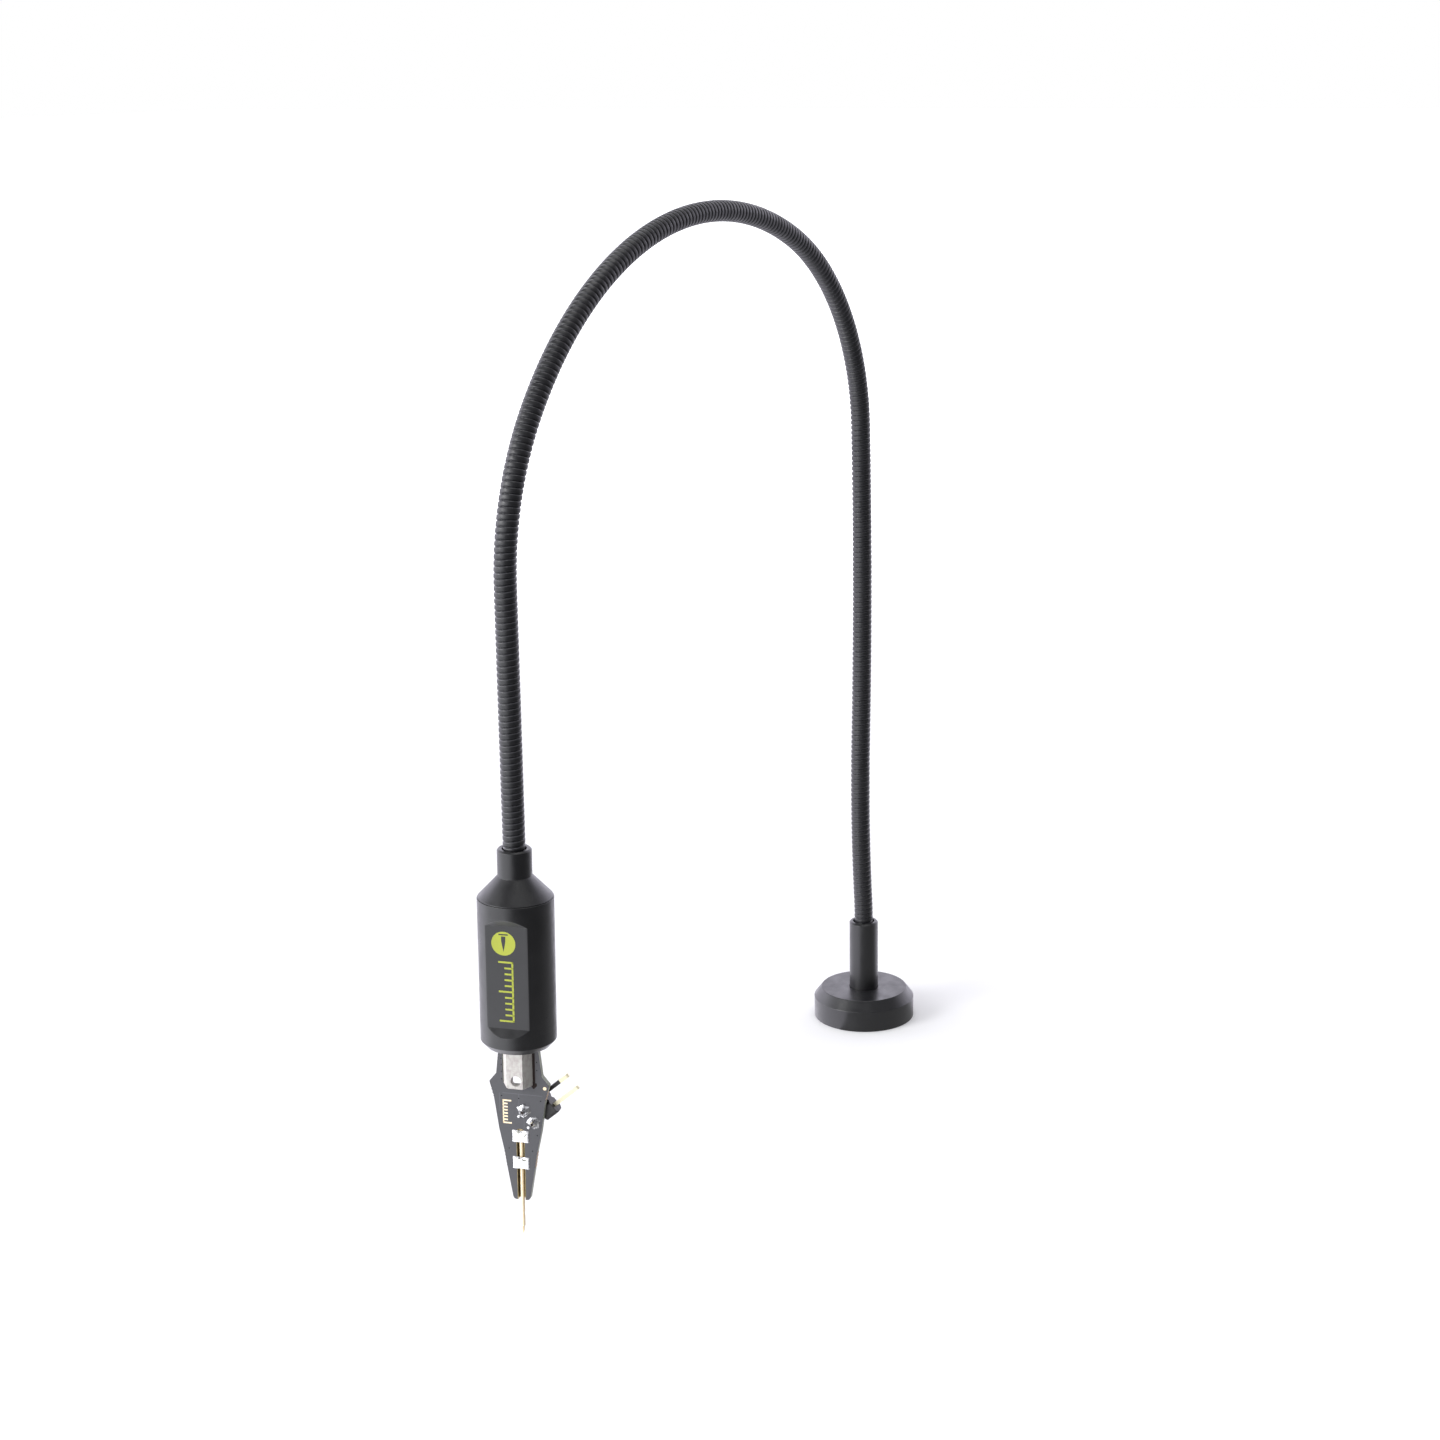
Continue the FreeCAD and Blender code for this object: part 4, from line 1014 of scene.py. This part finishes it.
def build_joints():
    """Each joint's cone, its beads, and painted dark reflection on the pin's end with painted shade in a crease
    beside it.
    """
    for k, (node, (x, z)) in enumerate(PIN_PLACES.items()):
        cone = [joint_cone(x, z, 0.6 + 1.3 * k)]
        head_piece(node + "_cone", cone, TIN_AND_PAINTED_REFLECTION, "solder", node).data.shade_flat()
        beads = [ball(bx, BOARD_FRONT - BEAD_RISE, bz, BEAD_RADIUS) for bx, bz in BEADS[node]]
        head_piece(node + "_beads", beads, TIN, "solder")
        # A painted dark reflection disc on the pin's end, and a painted shade wedge in the crease beside it.
        top = BOARD_FRONT - JOINT_HEIGHT
        crease_shade = slab([(x - 0.1, z), (x + 0.1, z), (x + 0.32, z + 0.75)], top + 0.02, top + 0.75)
        end = [disc(x, z, JOINT_TIP_RADIUS - 0.01, top, top + 0.1, JOINT_SIDES), crease_shade]
        head_piece(node + "_end", end, SHADE_AND_REFLECTION, "board_mask")


# The header: pins at an angle above level, through the middle of the block

HEADER_ANGLE = 41.0
HEADER_SIDE_OFFSET = 1.5
HEADER_MIDDLE_HEIGHT = 21.5
PIN_BLACK_TO = 7.5


def blacken(mesh, reach):
    """Cuts a pin's mesh square across at a distance along it, and blackens what lies below."""
    angle = np.radians(HEADER_ANGLE)
    way = np.array([np.cos(angle), 0, np.sin(angle)])
    point = np.array([HEADER_SIDE_OFFSET, 0, HEADER_MIDDLE_HEIGHT]) + reach * way
    way = HEAD_ROTATION @ way
    point = in_head(point) * MM
    shape = bmesh.new()
    shape.from_mesh(mesh)
    everything = list(shape.verts) + list(shape.edges) + list(shape.faces)
    bmesh.ops.bisect_plane(shape, geom=everything, plane_co=point.tolist(), plane_no=way.tolist())
    for face in shape.faces:
        below = (np.array(face.calc_center_median()) - point) @ way < 0
        face.material_index = 1 if below else 0
    shape.to_mesh(mesh)
    shape.free()
    mesh.materials.append(HEADER)


def build_header():
    """The block with eased edges, and its pins, the upper one black in its first part."""
    block = edged_copy("header_block", "block", 0.07)
    finish_piece(block, HEADER, "head", "header_plastic", "header_block")
    for side in ("upper", "lower"):
        node = "header_pin_" + side
        pin = edged_copy(node, "pin_" + side, 0.0, smooth=False)
        finish_piece(pin, PIN_GOLD, "head", "pin_gold", node)
        if side == "upper":
            blacken(pin.data, PIN_BLACK_TO)


# The standoff

STANDOFF_FACE = 2.38
STANDOFF_CORNER = 2.748
STANDOFF_SHIFT = -0.15
STANDOFF_END = FORK_FLOOR + 0.05
STANDOFF_FOOT = 0.3
STANDOFF_BORE_RADIUS = 1.5
STANDOFF_BORE_DEPTH = 6.0
CROSS_HOLE_HEIGHT = 1.5
CROSS_HOLE_RADIUS = 0.9
CROSS_HOLE_ASIDE = 0.22
BACK_GAP_HALF_WIDTH = 2.3
BACK_GAP_RISE = 0.55
BACK_GAP_FRONT = 0.75


def rings_shell(rings):
    """A closed skin through rings of (x, y) corners, each at its own height."""
    return shell(np.stack([np.column_stack([ring, np.full(len(ring), z)]) for ring, z in rings]))


def cut_away(body, cutters):
    """Takes each closed cutter out of a body, then merges what the cuts left split."""
    for k, cut in enumerate(cutters):
        cutter = joined("cutter_%d" % k, [cut], in_head)
        step = body.modifiers.new("cut", "BOOLEAN")
        step.object = cutter
        step.operation = "DIFFERENCE"
        step.solver = "EXACT"
        graph = bpy.context.evaluated_depsgraph_get()
        body.data = bpy.data.meshes.new_from_object(body.evaluated_get(graph))
        body.modifiers.clear()
        bpy.data.objects.remove(cutter)
    shape = bmesh.new()
    shape.from_mesh(body.data)
    cleaned(shape, 2e-6, 1.0)
    shape.to_mesh(body.data)
    shape.free()


def build_standoff():
    """The hexagonal standoff: tapped bore, a round cross hole in front and a milled gap behind.

    Its six corners lie at a face's distance over the cosine of 30 degrees, one face to the front,
    and its lower edge is drawn in by the foot's width.
    """
    x, end = STANDOFF_SHIFT, STANDOFF_END
    angle = TAU * (np.arange(6) + 1.5) / 6
    corner = STANDOFF_FACE * 2 / np.sqrt(3)
    corners = np.stack([x + corner * np.sin(angle), corner * np.cos(angle)], -1)
    foot = corners.mean(0) + (corners - corners.mean(0)) * (1 - STANDOFF_FOOT / STANDOFF_CORNER)
    rings = [(foot, end), (corners, end + STANDOFF_FOOT * 0.9), (corners, BARREL_END)]
    body = joined("standoff", [rings_shell(rings)], in_head)
    ring = circle(STANDOFF_BORE_RADIUS, 40) + (x, 0)
    hole = end + CROSS_HOLE_HEIGHT
    left, right = x - BACK_GAP_HALF_WIDTH, x + BACK_GAP_HALF_WIDTH
    cut_away(body, (
        rings_shell([(ring, end - 0.5), (ring, end + STANDOFF_BORE_DEPTH)]),
        disc(x + CROSS_HOLE_ASIDE, hole, CROSS_HOLE_RADIUS, -3.5, -0.1, 40),
        bar(left, right, end - 0.5, hole + BACK_GAP_RISE, BACK_GAP_FRONT, 3.5),
    ))
    body.data.shade_flat()
    finish_piece(body, NICKEL, "head", "standoff_nickel", "hex_standoff")


def build_print():
    """Plain marks on the barrel's flat: a disc with a downward point in it, and a scale."""
    front, back = -FLAT_FROM_AXIS - 0.012, -FLAT_FROM_AXIS + 0.05
    rungs = [(39.95 + k, 2.5 if k % 5 == 0 else 1.5) for k in range(11)]
    marks = [disc(-0.51, 53.1, 2.0, front, back, 64)]
    marks += scale_bars(1.05, -1, (0.3, 39.8, 50.1), rungs, 0.15, front, back)
    head_piece("flat_marks", marks, PRINT_LIME, "turned_black")
    point = [(-0.86, 54.3), (-0.16, 54.3), (-0.16, 53.5), (-0.51, 51.7), (-0.86, 53.5)]
    sign = [slab(point, front - 0.006, back), bar(-1.3, 0.28, 54.5, 54.72, front - 0.006, back)]
    head_piece("flat_sign", sign, BLACK, "turned_black")


# The camera, at the place worked out from the photograph (millimetres and degrees)
CAMERA_PLACE = (-408.2, -232.0, 190.35)
CAMERA_LOOK = (0.8382, 0.5454)
CAMERA_PITCH = 15.287
CAMERA_ROLL = 1.006
CAMERA_LENS = 61.83


def camera_axes():
    """The camera's right, up and look directions, pitched down and rolled."""
    pitch, roll = np.radians(CAMERA_PITCH), np.radians(CAMERA_ROLL)
    look = np.array([CAMERA_LOOK[0] * np.cos(pitch), CAMERA_LOOK[1] * np.cos(pitch), -np.sin(pitch)])
    right = np.array([CAMERA_LOOK[1], -CAMERA_LOOK[0], 0.0])
    down = np.cross(look, right)
    rolled_right = right * np.cos(roll) + down * np.sin(roll)
    rolled_down = -right * np.sin(roll) + down * np.cos(roll)
    return rolled_right, -rolled_down, look


def build_camera():
    """The camera, with a plain lens and no shift."""
    data = bpy.data.cameras.new("camera")
    data.sensor_width = 36.0
    data.lens = CAMERA_LENS
    data.clip_start = 0.005
    data.clip_end = 50.0
    camera = linked("camera", data)
    right, up, look = camera_axes()
    columns = np.stack([right, up, -look], 1)
    camera.matrix_world = Matrix.Translation(Vector(CAMERA_PLACE) * MM) @ Matrix(columns.tolist()).to_4x4()
    bpy.context.scene.camera = camera


# Floor, world and lamps

# The studio's light by direction, in the camera's terms: towards it, to its right, and up
TOWARDS_CAMERA = (-CAMERA_LOOK[0], -CAMERA_LOOK[1], 0.0)
TO_THE_RIGHT = (CAMERA_LOOK[1], -CAMERA_LOOK[0], 0.0)
WINDOW_WAY = (0.38, -0.88, 0.24)
WINDOW_LIGHT = 3.0
BACK_LIGHT = 2.0
ROOM_LIGHT = 0.28
OBJECT_MIDDLE = (-0.056, 0.0, 0.07)


def studio_group():
    """Light that comes from a direction: a wide window at the left, a pale backdrop, a dark room.

    The window's share rises with the cosine of the angle from the window's middle, the
    backdrop's with how far the direction points away from the camera, and both fall off upwards.
    """
    group, given, result = new_group(
        "studio_light", [("Direction", "vector", None)], [("Colour", "colour")],
    )
    direction = given["Direction"]
    way = add(group, "ShaderNodeVectorMath", [(0, direction)], operation="NORMALIZE").outputs[0]

    def part(axis):
        made = add(group, "ShaderNodeVectorMath", [(0, way), (1, axis)], operation="DOT_PRODUCT")
        return made.outputs["Value"]

    towards, aside, up = WINDOW_WAY
    middle = Vector(TOWARDS_CAMERA) * towards + Vector(TO_THE_RIGHT) * aside + Vector((0, 0, up))
    height = part((0, 0, 1))
    aimed = ramp(group, part(middle.normalized()), 0.42, 0.86)
    window = times(group, aimed, ramp(group, height, 0.72, 0.2))
    behind = times(group, ramp(group, part(TOWARDS_CAMERA), 0.12, -0.5), ramp(group, height, 0.75, 0.35))
    strength = plus(group, times(group, window, WINDOW_LIGHT), ROOM_LIGHT)
    warm = scaled(group, (0.985, 0.995, 1.05), strength)
    cool = scaled(group, (0.95, 0.92, 1.06), times(group, behind, BACK_LIGHT))
    total = add(group, "ShaderNodeVectorMath", [(0, warm), (1, cool)], operation="ADD")
    group.links.new(total.outputs[0], result["Colour"])
    return group


STUDIO = studio_group()


FLOOR_WHITE = 0.82
FLOOR_LIFT = 0.09
FLOOR_MIRRORED = 0.6
FLOOR_CLOSE = 0.35


def build_floor():
    """A white floor that keeps the soft shadow for the camera, and passes the studio's light on.

    For the camera its own light grows with the distance from the foot, so that it fades to white.
    Other rays see the studio's light by the way from the line between foot and tip to the place
    that they meet, and a little white close to that line, so that the metal mirrors the room and
    no endless white table.
    """
    half = 6000.0
    grid = np.array([[-half, -half, 0], [half, -half, 0], [half, half, 0], [-half, half, 0]])
    floor = mesh_object("floor", grid, np.array([[0, 1, 2, 3]]), np.zeros((0, 3), int))
    material = bpy.data.materials.new("floor_white")
    material.use_nodes = True
    tree = material.node_tree
    shader = tree.nodes["Principled BSDF"]
    shader.inputs["Base Color"].default_value = (FLOOR_WHITE, FLOOR_WHITE, FLOOR_WHITE, 1)
    shader.inputs["Roughness"].default_value = 0.9
    shader.inputs["Specular IOR Level"].default_value = 0.0
    path = tree.nodes.new("ShaderNodeLightPath")
    where = tree.nodes.new("ShaderNodeTexCoord")

    def glow(colour, strength):
        return add(tree, "ShaderNodeEmission", [("Color", colour), ("Strength", strength)]).outputs[0]

    def both(first, second):
        return add(tree, "ShaderNodeAddShader", [(0, first), (1, second)]).outputs[0]

    white = (1, 1, 1, 1)
    away = add(tree, "ShaderNodeVectorMath", [(0, where.outputs["Object"])], operation="LENGTH")
    lift = ramp(tree, away.outputs["Value"], 0.2, 0.7, FLOOR_LIFT, 1.0)
    seen = both(shader.outputs[0], glow(white, lift))
    split = add(tree, "ShaderNodeSeparateXYZ", [(0, where.outputs["Object"])])
    nearest = maths(tree, "MINIMUM", maths(tree, "MAXIMUM", split.outputs["X"], TIP[0] * MM), 0.0)
    around = add(tree, "ShaderNodeCombineXYZ", [
        ("X", maths(tree, "SUBTRACT", split.outputs["X"], nearest)), ("Y", split.outputs["Y"]),
    ])
    studio = place_group(tree, STUDIO, [("Direction", around.outputs[0])])
    reach = add(tree, "ShaderNodeVectorMath", [(0, around.outputs[0])], operation="LENGTH")
    close = ramp(tree, reach.outputs["Value"], 0.02, 0.16, FLOOR_CLOSE, 0.0)
    passed = both(glow(studio["Colour"], FLOOR_MIRRORED), glow(white, close))
    total = add(tree, "ShaderNodeMixShader", [(0, path.outputs["Is Camera Ray"]), (1, passed), (2, seen)])
    tree.links.new(total.outputs[0], tree.nodes["Material Output"].inputs["Surface"])
    floor.data.materials.append(material)


def build_world():
    """The studio's light by direction, and plain white where the camera sees it."""
    world = bpy.data.worlds.new("surround")
    bpy.context.scene.world = world
    world.use_nodes = True
    tree = world.node_tree
    background = tree.nodes["Background"]
    path = tree.nodes.new("ShaderNodeLightPath")
    where = tree.nodes.new("ShaderNodeTexCoord")
    studio = place_group(tree, STUDIO, [("Direction", where.outputs["Generated"])])
    seen = maths(tree, "MAXIMUM", path.outputs["Is Camera Ray"], path.outputs["Is Transmission Ray"])
    tree.links.new(mixed(tree, seen, studio["Colour"], (1, 1, 1, 1)), background.inputs["Color"])


def softbox(name, aside, towards, height, size, power):
    """A square lamp placed from the object's middle by distances in the camera's terms."""
    middle = Vector(OBJECT_MIDDLE)
    sideways = Vector(TO_THE_RIGHT) * aside
    data = bpy.data.lights.new(name, "AREA")
    data.size = size
    data.energy = power
    lamp = linked(name, data)
    lamp.location = middle + sideways + Vector(TOWARDS_CAMERA) * towards + Vector((0, 0, height))
    lamp.rotation_euler = (middle - lamp.location).to_track_quat("-Z", "Y").to_euler()


def build_lamps():
    """A key lamp in the window, and a soft one above."""
    softbox("key", -0.95, 0.5, 0.5, 0.5, 7.5)
    softbox("overhead", 0.1, -0.1, 1.1, 0.8, 5.0)


def dress_nodes():
    """Materials for the CAD nodes that are shown as they are."""
    finishes = {
        "foot_magnet": MAGNET, "foot_screw": SCREW, "slot_lining": LINING, "needle_sleeve": NEEDLE,
        "needle_plunger": POINT, "needle_spring": SPRING,
    }
    for node, material in finishes.items():
        slots = frame["nodes"][node].data.materials
        slots.clear()
        slots.append(material)


build_arm()
build_foot()
build_barrel()
build_cap()
build_board()
build_board_face()
build_notches()
build_fork_shade()
build_pads()
build_joints()
build_standoff()
build_header()
build_print()
dress_nodes()
build_floor()
build_world()
build_lamps()
build_camera()
bpy.context.scene.view_settings.view_transform = "Standard"
